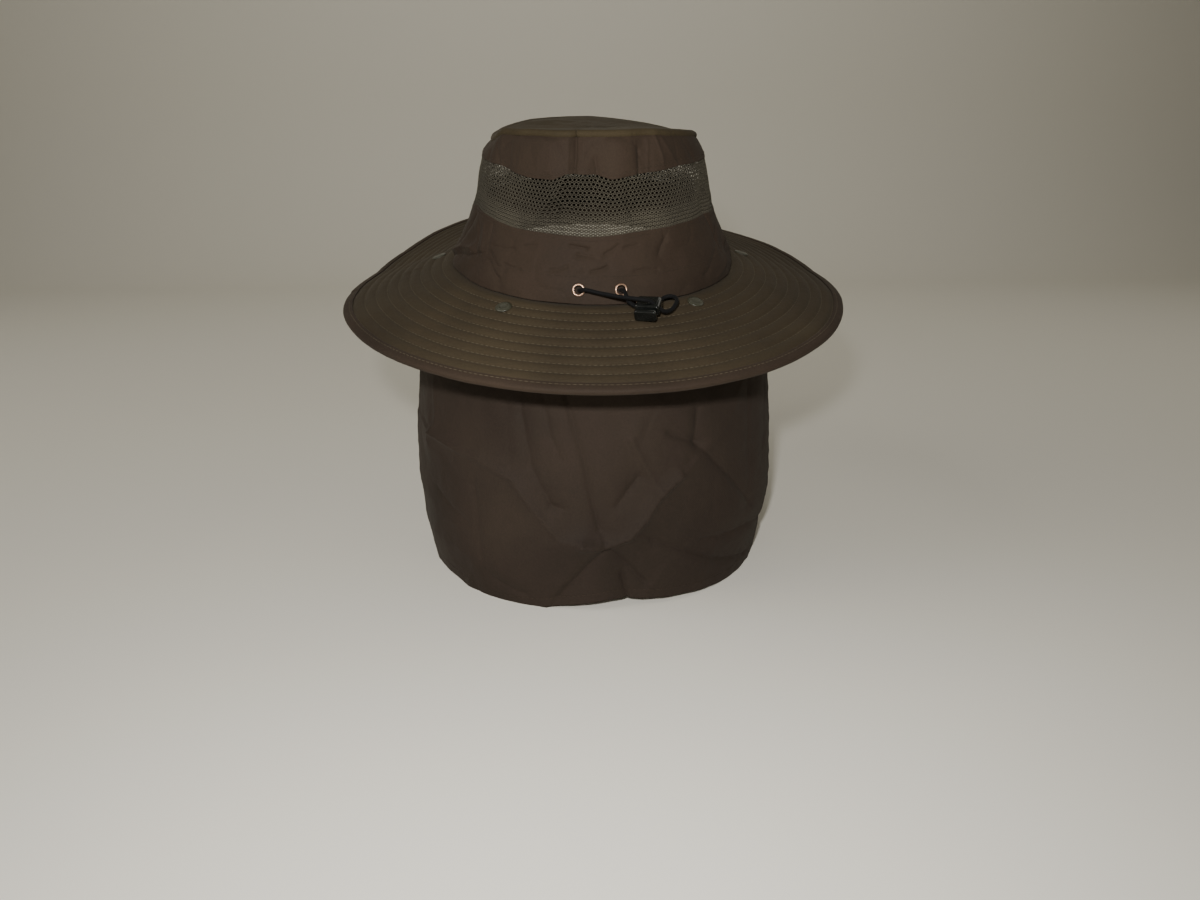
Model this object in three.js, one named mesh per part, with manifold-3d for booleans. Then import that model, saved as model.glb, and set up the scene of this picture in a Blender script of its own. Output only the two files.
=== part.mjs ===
// Flap sun hat: ribbed brim, mesh-banded crown, snapped-on neck flap and a locked drawcord.
// Millimetres, +Z up. -Y is the back of the head, where the flap and the drawcord are.
// The hat's own frame has the brim seam in the plane z = 0, centred on the origin.
// On a head the back sits lower, so the whole hat is turned about X and the flap hangs plumb.

import * as THREE from 'three';
import { mergeVertices } from 'three/addons/utils/BufferGeometryUtils.js';
import Module from 'manifold-3d';

const wasm = await Module();
wasm.setup();

// Driving dimensions
const HEAD_HALF_WIDTH = 88;
const HEAD_HALF_LENGTH = 94;
const BACK_TILT = 9.6;
const SOFT_GAP = 0.3;

const CROWN_HEIGHT = 77.5;
const RIM_HEIGHT = 76;
const MESH_TOP = 64.5;
const MESH_BOTTOM = 35;
const CHANNEL_HEIGHT = 18;
const CHANNEL_WALL = 2.8;
const PANEL_WALL = 1.3;
const MESH_WALL = 1.0;
const CROWN_SIDES = 46;

const BRIM_WIDTH = 72;
const BRIM_MARGIN = 3.4;
const BRIM_WALL = 1.6;
const RIB_RISE = 0.6;
const RIB_COUNT = 9;
const BINDING_WIDTH = 6.5;
const BINDING_WALL = 0.9;
const BRIM_SIDES = 40;

const FLAP_WALL = 1.2;
const FLAP_HALF_SPAN = 104;
const FLAP_HEM_START = 4;
const FLAP_HEM_WIDTH = 12.5;
const FLAP_TURN_RADIUS = 1.5;
const FLAP_DEPTH = 192;
const FLAP_BELL = 13;
const FLAP_BACK_BELL = 0.1;
const FLAP_CORNER = 35;
const FLAP_SMOOTH_TOP = 0.15;
const FLAP_COLUMNS = 34;

const SNAP_CAP_RADIUS = 4.7;
const SNAP_CAP_HEIGHT = 1.3;
const SNAP_POST_RADIUS = 1.4;
const SNAP_SOCKET_RADIUS = 3.2;
const SNAP_SOCKET_HEIGHT = 1.8;
const SNAP_SIDES = 8;

const GROMMET_RADIUS = 3.5;
const GROMMET_BORE_RADIUS = 2.3;
const GROMMET_WALL = 0.5;
const GROMMET_FLANGE = 0.7;
const GROMMET_DEPTH = 1.6;
const GROMMET_HEIGHT = 8.4;
const GROMMET_MIDDLE = -90.75;
const GROMMET_HALF_ANGLE = 7.7;
const GROMMET_SIDES = 12;

const CORD_DIAMETER = 2.2;
const CORD_CLEARANCE = 0.35;
const CORD_SIDES = 8;
const CORD_STEPS = 56;

const LOCK_WIDTH = 13.5;
const LOCK_THICKNESS = 6.6;
const LOCK_CORNER = 1.7;
const LOCK_EDGE = 1.3;
const LOCK_WALL = 1.2;
const LOCK_END_WALL = 1.6;
const LOCK_STEM_WALL = 0.8;
const LOCK_TRAVEL = 2;
const LOCK_BUTTON_LENGTH = 2.4;
const LOCK_BUTTON_WIDTH = 12;
const LOCK_BUTTON_EDGE = 0.8;
const LOCK_AROUND = -76.8;
const LOCK_OFFSET = 13;
const LOCK_TURN = -32;
const LOCK_ROLL = 12;
const LOCK_PITCH = -7;

// Crown outline from the seam up: heights as shares of the crown's height,
// reach as a share of the head's half width and half length.
const CROWN_OUTLINE = [
  { height: 0, reach: 1 },
  { height: 0.06, reach: 0.987 },
  { height: 0.13, reach: 0.967 },
  { height: 0.23, reach: 0.926 },
  { height: 0.34, reach: 0.878 },
  { height: 0.45, reach: 0.84 },
  { height: 0.58, reach: 0.811 },
  { height: 0.71, reach: 0.788 },
  { height: 0.846, reach: 0.757 },
  { height: 0.91, reach: 0.73 },
  { height: 0.955, reach: 0.703 },
  { height: 1, reach: 0.665 },
];

// Soft lobes, dents and creases of the crown wall: around and wide in degrees, up and tall as
// shares of the crown's height, push outwards as a share of the head's half width,
// lean in degrees of turn over the crown's full height.
const CROWN_FOLDS = [
  { around: -116, up: 0.9, wide: 13, tall: 0.1, push: 0.022, lean: 0 },
  { around: -102, up: 0.9, wide: 6, tall: 0.12, push: -0.026, lean: 10 },
  { around: -91, up: 0.86, wide: 6, tall: 0.1, push: -0.02, lean: -20 },
  { around: -79, up: 0.9, wide: 9, tall: 0.1, push: 0.02, lean: 0 },
  { around: -68, up: 0.88, wide: 6, tall: 0.12, push: -0.03, lean: 0 },
  { around: -50, up: 0.87, wide: 7, tall: 0.08, push: -0.015, lean: 30 },
  { around: -141, up: 0.8, wide: 6, tall: 0.12, push: -0.022, lean: -20 },
  { around: -118, up: 0.62, wide: 6, tall: 0.17, push: 0.026, lean: 70 },
  { around: -106, up: 0.56, wide: 6, tall: 0.09, push: -0.034, lean: 60 },
  { around: -94, up: 0.52, wide: 6, tall: 0.08, push: 0.018, lean: 0 },
  { around: -72, up: 0.6, wide: 6, tall: 0.2, push: -0.018, lean: -20 },
  { around: -56, up: 0.66, wide: 9, tall: 0.14, push: 0.014, lean: 0 },
  { around: -30, up: 0.55, wide: 6, tall: 0.2, push: -0.016, lean: 20 },
  { around: -172, up: 0.05, wide: 9, tall: 0.09, push: 0.02, lean: 0 },
  { around: -160, up: 0.22, wide: 6, tall: 0.12, push: -0.026, lean: 50 },
  { around: -148, up: 0.14, wide: 6, tall: 0.12, push: -0.02, lean: 60 },
  { around: -16, up: 0.16, wide: 6, tall: 0.12, push: -0.022, lean: -50 },
  { around: -4, up: 0.1, wide: 6, tall: 0.1, push: 0.014, lean: 0 },
  { around: -125, up: 0.25, wide: 8, tall: 0.08, push: -0.012, lean: 0 },
  { around: -60, up: 0.25, wide: 8, tall: 0.08, push: -0.012, lean: 0 },
  { around: 30, up: 0.6, wide: 10, tall: 0.25, push: -0.02, lean: 30 },
  { around: 62, up: 0.7, wide: 9, tall: 0.2, push: -0.022, lean: -20 },
  { around: 100, up: 0.62, wide: 12, tall: 0.22, push: -0.018, lean: 20 },
  { around: 140, up: 0.66, wide: 9, tall: 0.2, push: -0.02, lean: -30 },
];

// Sag of the crown's rim by place around in degrees, as a share of the crown's height.
// The rim rises where the sag is negative.
const RIM_SAG = [
  { around: -180, sag: 0.045 },
  { around: -170, sag: 0.035 },
  { around: -160, sag: -0.006 },
  { around: -150, sag: -0.06 },
  { around: -130, sag: -0.084 },
  { around: -110, sag: -0.097 },
  { around: -90, sag: -0.106 },
  { around: -70, sag: -0.106 },
  { around: -60, sag: -0.1 },
  { around: -40, sag: -0.068 },
  { around: -20, sag: -0.026 },
  { around: 0, sag: 0.03 },
  { around: 30, sag: 0.06 },
  { around: 60, sag: 0.04 },
  { around: 90, sag: 0.015 },
  { around: 130, sag: 0.015 },
  { around: 160, sag: 0.04 },
  { around: 180, sag: 0.045 },
];

// Downward slope of the brim by place around, both in degrees.
const BRIM_SLOPE = [
  { around: -180, slope: 19 },
  { around: -155, slope: 15.5 },
  { around: -125, slope: 15.5 },
  { around: -90, slope: 15.8 },
  { around: -60, slope: 15.5 },
  { around: -35, slope: 15 },
  { around: -10, slope: 15 },
  { around: 10, slope: 16.3 },
  { around: 30, slope: 13.5 },
  { around: 50, slope: 12 },
  { around: 90, slope: 7 },
  { around: 123, slope: 7 },
  { around: 135, slope: 10.5 },
  { around: 148, slope: 16.5 },
  { around: 162, slope: 20.5 },
  { around: 180, slope: 19 },
];

// Snaps by place along the flap's hem, as a share of its half span from the middle of the back,
// and by offset down the brim, as a share of its width.
const SNAPS = [
  { name: 'flap_snap_left_front', along: -0.947, offset: 0.18 },
  { name: 'flap_snap_left_back', along: -0.3125, offset: 0.155 },
  { name: 'flap_snap_right_back', along: 0.3173, offset: 0.11 },
  { name: 'flap_snap_right_front', along: 0.947, offset: 0.18 },
];

// How far the flap bells out at the sides, as a share of its bell, by share of its fall.
const FLAP_FALL = [
  { drop: 0, bell: 0 },
  { drop: 0.1, bell: 0.15 },
  { drop: 0.25, bell: 0.55 },
  { drop: 0.5, bell: 0.88 },
  { drop: 0.7, bell: 1 },
  { drop: 0.85, bell: 0.92 },
  { drop: 1, bell: 0.5 },
];

// Soft grooves and ridges of the flap, each along a line on the hanging cloth: around in degrees,
// drop and wide as shares of the flap's fall, push outwards as a share of its bell.
const FLAP_FOLDS = [
  { from: { around: -158, drop: 0.3 }, to: { around: -120, drop: 0.44 }, wide: 0.09, push: 0.3 },
  { from: { around: -120, drop: 0.44 }, to: { around: -106, drop: 0.66 }, wide: 0.09, push: 0.38 },
  { from: { around: -106, drop: 0.66 }, to: { around: -88, drop: 0.8 }, wide: 0.09, push: 0.45 },
  { from: { around: -88, drop: 0.8 }, to: { around: -72, drop: 0.64 }, wide: 0.09, push: 0.45 },
  { from: { around: -72, drop: 0.64 }, to: { around: -56, drop: 0.46 }, wide: 0.09, push: 0.35 },
  { from: { around: -104, drop: 0.55 }, to: { around: -80, drop: 0.55 }, wide: 0.14, push: -0.3 },
  { from: { around: -108, drop: 0.12 }, to: { around: -106, drop: 0.52 }, wide: 0.09, push: -0.4 },
  { from: { around: -97, drop: 0.12 }, to: { around: -91, drop: 0.72 }, wide: 0.09, push: -0.3 },
  { from: { around: -84, drop: 0.9 }, to: { around: -80, drop: 1 }, wide: 0.13, push: -0.8 },
  { from: { around: -66, drop: 0.14 }, to: { around: -56, drop: 0.36 }, wide: 0.09, push: -0.4 },
  { from: { around: -56, drop: 0.36 }, to: { around: -30, drop: 0.62 }, wide: 0.09, push: -0.3 },
  { from: { around: -52, drop: 0.84 }, to: { around: -22, drop: 0.78 }, wide: 0.09, push: -0.35 },
  { from: { around: -30, drop: 0.1 }, to: { around: -22, drop: 0.6 }, wide: 0.09, push: -0.35 },
  { from: { around: -8, drop: 0.15 }, to: { around: -4, drop: 0.6 }, wide: 0.2, push: 0.4 },
  { from: { around: -176, drop: 0.1 }, to: { around: -174, drop: 0.3 }, wide: 0.12, push: -0.2 },
  { from: { around: -141, drop: 0.5 }, to: { around: -138, drop: 0.85 }, wide: 0.09, push: -0.3 },
];

// Lower edge of the flap by place around in degrees: how much longer it hangs than the flap's
// depth, as a share of that depth.
const FLAP_EDGE = [
  { around: -145, longer: 0 },
  { around: -128, longer: 0.018 },
  { around: -118, longer: 0.018 },
  { around: -102, longer: 0 },
  { around: -95, longer: -0.016 },
  { around: -88, longer: -0.026 },
  { around: -75, longer: -0.016 },
  { around: -60, longer: -0.01 },
  { around: -45, longer: 0 },
];

// Two slanted holes of the cord lock, in the order in which the cord runs through them. Each goes
// through a wide face and a side face: across and up, as shares of half its width and thickness.
const LOCK_HOLES = [
  { enter: { across: -0.4, up: 1 }, leave: { across: -1, up: -0.227 } },
  { enter: { across: 0.267, up: -1 }, leave: { across: 1, up: 0.121 } },
];

// Route of the drawcord, in cord diameters. Start and end are in a grommet's frame: level with
// the brim's seam, rise up the crown, out off it. The rest is in the lock's frame: across the lock,
// along it, and up off the brim.
const CORD_START = [
  { level: 0.09, rise: 0, out: 0.27 },
  { level: 0.77, rise: 0, out: 1.5 },
  { level: 2.09, rise: 0.05, out: 2.27 },
];
const CORD_LEAD = [
  { across: 12.41, along: -0.82, up: 3.2 },
  { across: 9.45, along: -0.41, up: 3 },
  { across: 6.73, along: 0, up: 2.9 },
  { across: 4.05, along: 0.41, up: 3 },
  { across: 1, along: 0.55, up: 2.77 },
];
const CORD_LOOP = [
  { across: -3.77, along: -0.16, up: -1 },
  { across: -4.55, along: -0.86, up: -1.57 },
  { across: -5.23, along: -2.1, up: -1.95 },
  { across: -5.64, along: -3.82, up: -2.18 },
  { across: -5.77, along: -5.82, up: -2.27 },
  { across: -5.17, along: -7.26, up: -2.36 },
  { across: -3.73, along: -7.86, up: -2.45 },
  { across: -2.28, along: -7.26, up: -2.54 },
  { across: -1.68, along: -5.82, up: -2.61 },
  { across: -1.62, along: -4.1, up: -2.55 },
  { across: -1.3, along: -2.45, up: -2.41 },
  { across: -0.68, along: -0.95, up: -2.27 },
  { across: 0.14, along: -0.11, up: -2.02 },
];
const CORD_TAIL = [
  { across: 3.91, along: -0.05, up: 0.75 },
  { across: 4.82, along: -0.55, up: 1.18 },
  { across: 5.41, along: -1.45, up: 1.41 },
];
const CORD_END = [
  { level: 0.41, rise: -0.23, out: 1.64 },
  { level: 0.07, rise: 0, out: 0.55 },
];

// Sizes that follow from the driving dimensions
const RIB_PITCH = (BRIM_WIDTH - BINDING_WIDTH) / RIB_COUNT;
const RIBBED_WIDTH = RIB_PITCH * RIB_COUNT;
const BRIM_HALF = BRIM_WALL / 2;
const BRIM_EDGE = BRIM_WIDTH - BINDING_WALL - SOFT_GAP;
const FLAP_HANG_OFFSET = FLAP_HEM_START + FLAP_HEM_WIDTH;
const FLAP_LIFT = -(BRIM_HALF + SOFT_GAP + FLAP_WALL / 2);
const SNAP_REACH = 3 * BRIM_WALL;
const CORD_RADIUS = CORD_DIAMETER / 2;
const LOCK_HOLE_RADIUS = CORD_RADIUS + CORD_CLEARANCE;
const LOCK_BORE_WIDTH = LOCK_WIDTH - 2 * LOCK_WALL;
const LOCK_BORE_HEIGHT = LOCK_THICKNESS - 2 * LOCK_WALL;
const LOCK_STEM_WIDTH = LOCK_BORE_WIDTH - 2 * SOFT_GAP;
const LOCK_STEM_HEIGHT = LOCK_BORE_HEIGHT - 2 * SOFT_GAP;
const LOCK_LIFT = BRIM_HALF + RIB_RISE + SOFT_GAP + CORD_DIAMETER + LOCK_THICKNESS / 2;
const LOCK_MOUTH = LOCK_HOLE_RADIUS + LOCK_END_WALL;
const LOCK_STEM_END = -(LOCK_HOLE_RADIUS + LOCK_STEM_WALL);
const LOCK_BORE_END = LOCK_STEM_END - LOCK_TRAVEL - SOFT_GAP;
const LOCK_FAR_END = LOCK_BORE_END - LOCK_END_WALL;

const deg = THREE.MathUtils.degToRad;
const plumb = new THREE.Vector3(0, -Math.sin(deg(BACK_TILT)), -Math.cos(deg(BACK_TILT)));

// Materials
const paint = (color, roughness, metalness = 0) => (
  new THREE.MeshStandardMaterial({ color, roughness, metalness })
);
const cloth = paint(0x3e342c, 0.85);
const netting = paint(0x32322d, 0.9);
const blackCord = paint(0x0c0c0d, 0.6);
const blackPlastic = paint(0x0a0a0b, 0.2);
const snapPlastic = paint(0x4b5540, 0.35);
const brass = paint(0xc8a082, 0.3, 1);

// Reads a column of a table at a place between its rows.
function lookUp(table, key, place, column) {
  const next = table.findIndex((row) => row[key] >= place);
  if (next === 0) return table[0][column];
  if (next < 0) return table[table.length - 1][column];
  const low = table[next - 1];
  const high = table[next];
  const share = (place - low[key]) / (high[key] - low[key]);
  return THREE.MathUtils.lerp(low[column], high[column], share);
}

// Brings an angle in degrees into -180 to 180, as the tables have it.
const wrap = (angle) => THREE.MathUtils.euclideanModulo(angle + 180, 360) - 180;

// Evenly spaced numbers from first to last, both included.
const spaced = (first, last, steps) => (
  Array.from({ length: steps + 1 }, (_, i) => first + ((last - first) * i) / steps)
);

// Point on the head's oval, scaled by reach, and the level outward direction there.
function oval(around, reach = 1) {
  const across = Math.cos(deg(around));
  const along = Math.sin(deg(around));
  return {
    point: new THREE.Vector3(HEAD_HALF_WIDTH * reach * across, HEAD_HALF_LENGTH * reach * along, 0),
    out: new THREE.Vector3(across / HEAD_HALF_WIDTH, along / HEAD_HALF_LENGTH, 0).normalize(),
  };
}

function crownPush(around, height) {
  const up = height / CROWN_HEIGHT;
  let push = 0;
  for (const fold of CROWN_FOLDS) {
    const rise = (up - fold.up) / fold.tall;
    const turn = wrap(around - fold.around - fold.lean * (up - fold.up)) / fold.wide;
    push += fold.push * Math.exp(-turn * turn - rise * rise);
  }
  return push * HEAD_HALF_WIDTH;
}

const rimSag = (around) => lookUp(RIM_SAG, 'around', wrap(around), 'sag') * CROWN_HEIGHT;

// Point of the crown's side: depth is measured inwards from its outer face.
function crownPoint(around, height, depth) {
  const { point, out } = oval(around, lookUp(CROWN_OUTLINE, 'height', height / CROWN_HEIGHT, 'reach'));
  point.addScaledVector(out, crownPush(around, height) - depth);
  point.z = height - rimSag(around) * THREE.MathUtils.smoothstep(height, MESH_TOP, RIM_HEIGHT);
  return point;
}

// Point of the brim: offset runs outwards from the seam down the slope, lift is off the slope.
// Inside the seam the brim's margin lies flat under the crown.
function brimPoint(around, offset, lift) {
  const { point, out } = oval(around);
  const slope = deg(lookUp(BRIM_SLOPE, 'around', wrap(around), 'slope'));
  const run = Math.max(offset, 0);
  const outwards = run > 0 ? run * Math.cos(slope) + lift * Math.sin(slope) : offset;
  point.addScaledVector(out, outwards);
  point.z = run > 0 ? lift * Math.cos(slope) - run * Math.sin(slope) : lift;
  return point;
}

// Merges shared corners, drops flat triangles and turns the faces outwards.
function tidy(geometry) {
  geometry.deleteAttribute('normal');
  geometry.deleteAttribute('uv');
  const merged = mergeVertices(geometry, 1e-4);
  const position = merged.attributes.position;
  const [a, b, c] = [new THREE.Vector3(), new THREE.Vector3(), new THREE.Vector3()];
  const faces = [];
  let volume = 0;
  for (let i = 0; i < merged.index.count; i += 3) {
    const corners = [0, 1, 2].map((k) => merged.index.getX(i + k));
    if (new Set(corners).size < 3) continue;
    faces.push(corners);
    a.fromBufferAttribute(position, corners[0]);
    b.fromBufferAttribute(position, corners[1]);
    c.fromBufferAttribute(position, corners[2]);
    volume += a.dot(b.cross(c));
  }
  if (volume < 0) faces.forEach((corners) => corners.reverse());
  merged.setIndex(faces.flat());
  return merged;
}

function toSolid(geometry) {
  return new wasm.Manifold(new wasm.Mesh({
    numProp: 3,
    vertProperties: new Float32Array(geometry.attributes.position.array),
    triVerts: new Uint32Array(geometry.index.array),
  }));
}

function toGeometry(solid) {
  const mesh = solid.getMesh();
  const geometry = new THREE.BufferGeometry();
  geometry.setAttribute('position', new THREE.BufferAttribute(mesh.vertProperties, 3));
  geometry.setIndex(new THREE.BufferAttribute(mesh.triVerts, 1));
  return geometry;
}

function named(name, geometry, material) {
  const shaded = geometry.clone();
  shaded.computeVertexNormals();
  const mesh = new THREE.Mesh(shaded, material);
  mesh.name = name;
  return mesh;
}

// Turns an outline of (across, up) points round Z and moves each point onto the hat by place().
// start is the radius at which the outline's across is 0: any value clear of the axis serves.
function turned(outline, sides, place, start) {
  const points = outline.map(([across, up]) => new THREE.Vector2(start + across, up));
  const geometry = new THREE.LatheGeometry(points, sides);
  const position = geometry.attributes.position;
  for (let i = 0; i < position.count; i += 1) {
    const [x, y, z] = [position.getX(i), position.getY(i), position.getZ(i)];
    const around = THREE.MathUtils.radToDeg(Math.atan2(x, z));
    const point = place(around, Math.hypot(x, z) - start, y);
    position.setXYZ(i, point.x, point.y, point.z);
  }
  return tidy(geometry);
}

const ring = (outline, sides, place) => (
  turned([...outline, outline[0]], sides, place, HEAD_HALF_WIDTH)
);

// Crown
function crownBand(bottom, top, steps, wallAt) {
  const heights = spaced(bottom, top, steps);
  const outline = [
    ...heights.map((height) => [0, height]),
    ...heights.toReversed().map((height) => [-wallAt(height), height]),
  ];
  return ring(outline, CROWN_SIDES, (around, across, height) => crownPoint(around, height, -across));
}

function crownTop() {
  const rim = lookUp(CROWN_OUTLINE, 'height', RIM_HEIGHT / CROWN_HEIGHT, 'reach');
  const shares = [0, 0.4, 0.75, 1];
  const underside = (share) => (
    THREE.MathUtils.lerp(CROWN_HEIGHT - PANEL_WALL, RIM_HEIGHT, share ** 4)
  );
  const outline = [
    ...shares.map((share) => [share, underside(share) + PANEL_WALL]),
    ...shares.toReversed().map((share) => [share, underside(share)]),
  ];
  return turned(outline, CROWN_SIDES, (around, share, height) => {
    const { point, out } = oval(around, rim * share);
    point.addScaledVector(out, share * crownPush(around, RIM_HEIGHT));
    point.z = height - rimSag(around) * share;
    return point;
  }, 0);
}

const grommetPlaces = [
  { name: 'grommet_left', around: GROMMET_MIDDLE - GROMMET_HALF_ANGLE },
  { name: 'grommet_right', around: GROMMET_MIDDLE + GROMMET_HALF_ANGLE },
];

// Frame at a grommet: origin on the crown's outer face, local Z outwards.
function grommetFrame(around) {
  const face = crownPoint(around, GROMMET_HEIGHT, 0);
  const above = crownPoint(around, GROMMET_HEIGHT + 1, 0).sub(face);
  const beside = crownPoint(around + 1, GROMMET_HEIGHT, 0).sub(face);
  const out = beside.cross(above).normalize();
  const level = new THREE.Vector3(0, 0, 1).cross(out).normalize();
  return new THREE.Matrix4().makeBasis(level, out.clone().cross(level), out).setPosition(face);
}

// A closed round solid from an outline of (radius, up) points, standing along local Z.
function round(outline, sides) {
  const points = outline.map(([radius, up]) => new THREE.Vector2(radius, up));
  return tidy(new THREE.LatheGeometry(points, sides).rotateX(Math.PI / 2));
}

function roundPin(radius, bottom, top, sides) {
  return round([[0, bottom], [radius, bottom], [radius, top], [0, top]], sides);
}

function crownLowerBand() {
  const wallAt = (height) => (height < CHANNEL_HEIGHT ? CHANNEL_WALL : PANEL_WALL);
  let solid = toSolid(crownBand(BRIM_HALF + SOFT_GAP, MESH_BOTTOM - SOFT_GAP / 2, 6, wallAt));
  for (const { around } of grommetPlaces) {
    const radius = GROMMET_BORE_RADIUS + GROMMET_WALL + SOFT_GAP;
    const hole = roundPin(radius, -(GROMMET_DEPTH + SOFT_GAP), GROMMET_DEPTH, GROMMET_SIDES);
    solid = solid.subtract(toSolid(hole.applyMatrix4(grommetFrame(around))));
  }
  return toGeometry(solid);
}

// Eyelet ring with a rounded flange outside and a barrel set into the wall.
function grommet() {
  const barrel = GROMMET_BORE_RADIUS + GROMMET_WALL;
  const flangeTop = SOFT_GAP + GROMMET_FLANGE;
  const outline = [
    [GROMMET_BORE_RADIUS, -GROMMET_DEPTH],
    [barrel, -GROMMET_DEPTH],
    [barrel, SOFT_GAP],
    [GROMMET_RADIUS, SOFT_GAP],
    [GROMMET_RADIUS - GROMMET_FLANGE / 3, flangeTop - GROMMET_FLANGE / 3],
    [barrel + GROMMET_WALL / 2, flangeTop],
    [GROMMET_BORE_RADIUS, SOFT_GAP],
  ];
  return round([...outline, outline[0]], GROMMET_SIDES);
}

// Brim: it swells between the stitch rows and is thin at them, at the seam and in the binding.
function ribSwell(offset) {
  if (offset <= 0 || offset >= RIBBED_WIDTH) return 0;
  return RIB_RISE * Math.abs(Math.sin((Math.PI * offset) / RIB_PITCH));
}

// Frame on the brim: local X across, local Y outwards down the slope, local Z off the slope.
function brimFrame(around, offset, lift) {
  const centre = brimPoint(around, offset, lift);
  const out = brimPoint(around, offset + 1, lift).sub(centre).normalize();
  const off = brimPoint(around, offset, lift + 1).sub(centre).normalize();
  return new THREE.Matrix4().makeBasis(out.clone().cross(off), out, off).setPosition(centre);
}

const snapFrame = ({ along, offset }) => (
  brimFrame(-90 + along * FLAP_HALF_SPAN, offset * BRIM_WIDTH, 0)
);

function withSnapHoles(geometry) {
  let solid = toSolid(geometry);
  for (const place of SNAPS) {
    const hole = roundPin(SNAP_POST_RADIUS + SOFT_GAP, -SNAP_REACH, SNAP_REACH, SNAP_SIDES);
    solid = solid.subtract(toSolid(hole.applyMatrix4(snapFrame(place))));
  }
  return toGeometry(solid);
}

function brim() {
  const over = [-BRIM_MARGIN, ...spaced(0, RIBBED_WIDTH, RIB_COUNT * 2), BRIM_EDGE];
  const under = [BRIM_EDGE, ...spaced(RIBBED_WIDTH, 0, 3), -BRIM_MARGIN];
  const outline = [
    ...over.map((offset) => [offset, BRIM_HALF + ribSwell(offset)]),
    ...under.map((offset) => [offset, -BRIM_HALF]),
  ];
  return withSnapHoles(ring(outline, BRIM_SIDES, brimPoint));
}

// The binding is folded over the brim's edge, open towards the crown.
function brimBinding() {
  const start = BRIM_WIDTH - BINDING_WIDTH + SOFT_GAP;
  const inner = BRIM_HALF + SOFT_GAP;
  const outer = inner + BINDING_WALL;
  const edge = BRIM_EDGE + SOFT_GAP;
  const half = [[start, inner], [start, outer], [BRIM_WIDTH, outer / 2]];
  const outline = [
    ...half, ...half.toReversed().map(([offset, lift]) => [offset, -lift]), [edge, -inner], [edge, inner],
  ];
  return ring(outline, BRIM_SIDES, brimPoint);
}

// Snap: a cap on the brim and a socket under the flap's hem, on one post through both.
function snap() {
  const cap = BRIM_HALF + RIB_RISE + SOFT_GAP;
  const socket = FLAP_LIFT - FLAP_WALL / 2 - SOFT_GAP;
  const dome = cap + SNAP_CAP_HEIGHT;
  return round([
    [0, socket - SNAP_SOCKET_HEIGHT],
    [SNAP_SOCKET_RADIUS, socket - SNAP_SOCKET_HEIGHT],
    [SNAP_SOCKET_RADIUS, socket],
    [SNAP_POST_RADIUS, socket],
    [SNAP_POST_RADIUS, cap],
    [SNAP_CAP_RADIUS, cap],
    [SNAP_CAP_RADIUS * 0.8, cap + SNAP_CAP_HEIGHT * 0.8],
    [0, dome],
  ], SNAP_SIDES);
}

// Neck flap
// Middle of the hem that lies under the brim: share runs from its inner edge outwards.
const flapHem = (around, share) => brimPoint(around, FLAP_HEM_START + FLAP_HEM_WIDTH * share, FLAP_LIFT);

// Plumb height of the fall at a place around, from the hem down to the flap's lower edge.
function flapFall(around) {
  const depth = FLAP_DEPTH * (1 + lookUp(FLAP_EDGE, 'around', around, 'longer'));
  return depth - flapHem(around, 1).dot(plumb);
}

// Arc along the hem, in millimetres, for a turn in degrees.
const hemArc = (turn) => deg(turn) * (HEAD_HALF_WIDTH + FLAP_HANG_OFFSET);

function flapPush(around, drop) {
  const here = new THREE.Vector2(hemArc(around) / FLAP_DEPTH, drop);
  const side = Math.cos(deg(around)) ** 2;
  const bell = THREE.MathUtils.lerp(FLAP_BACK_BELL, 1, side);
  let push = bell * lookUp(FLAP_FALL, 'drop', drop, 'bell');
  for (const { from, to, wide, push: depth } of FLAP_FOLDS) {
    const start = new THREE.Vector2(hemArc(from.around) / FLAP_DEPTH, from.drop);
    const line = new THREE.Vector2(hemArc(to.around) / FLAP_DEPTH, to.drop).sub(start);
    const share = THREE.MathUtils.clamp(here.clone().sub(start).dot(line) / line.lengthSq(), 0, 1);
    const distance = here.distanceTo(start.addScaledVector(line, share)) / wide;
    push += depth * Math.exp(-distance * distance);
  }
  return push * FLAP_BELL * THREE.MathUtils.smoothstep(drop, 0, FLAP_SMOOTH_TOP);
}

// The flap's front corners are rounded: how much shorter the cloth is at a place around.
function cornerRise(around) {
  const fromFront = hemArc(FLAP_HALF_SPAN - Math.abs(around + 90));
  const corner = 1 - THREE.MathUtils.clamp(fromFront / FLAP_CORNER, 0, 1);
  return FLAP_CORNER * (1 - Math.sqrt(1 - corner * corner));
}

// Middle of the hanging cloth: it leaves the hem in a round turn and then falls plumb.
function flapHang(around, bend, straight) {
  const down = FLAP_TURN_RADIUS * (1 - Math.cos(bend)) + straight;
  const push = FLAP_TURN_RADIUS * Math.sin(bend) + flapPush(around, down / flapFall(around));
  return flapHem(around, 1).addScaledVector(oval(around).out, push).addScaledVector(plumb, down);
}

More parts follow.
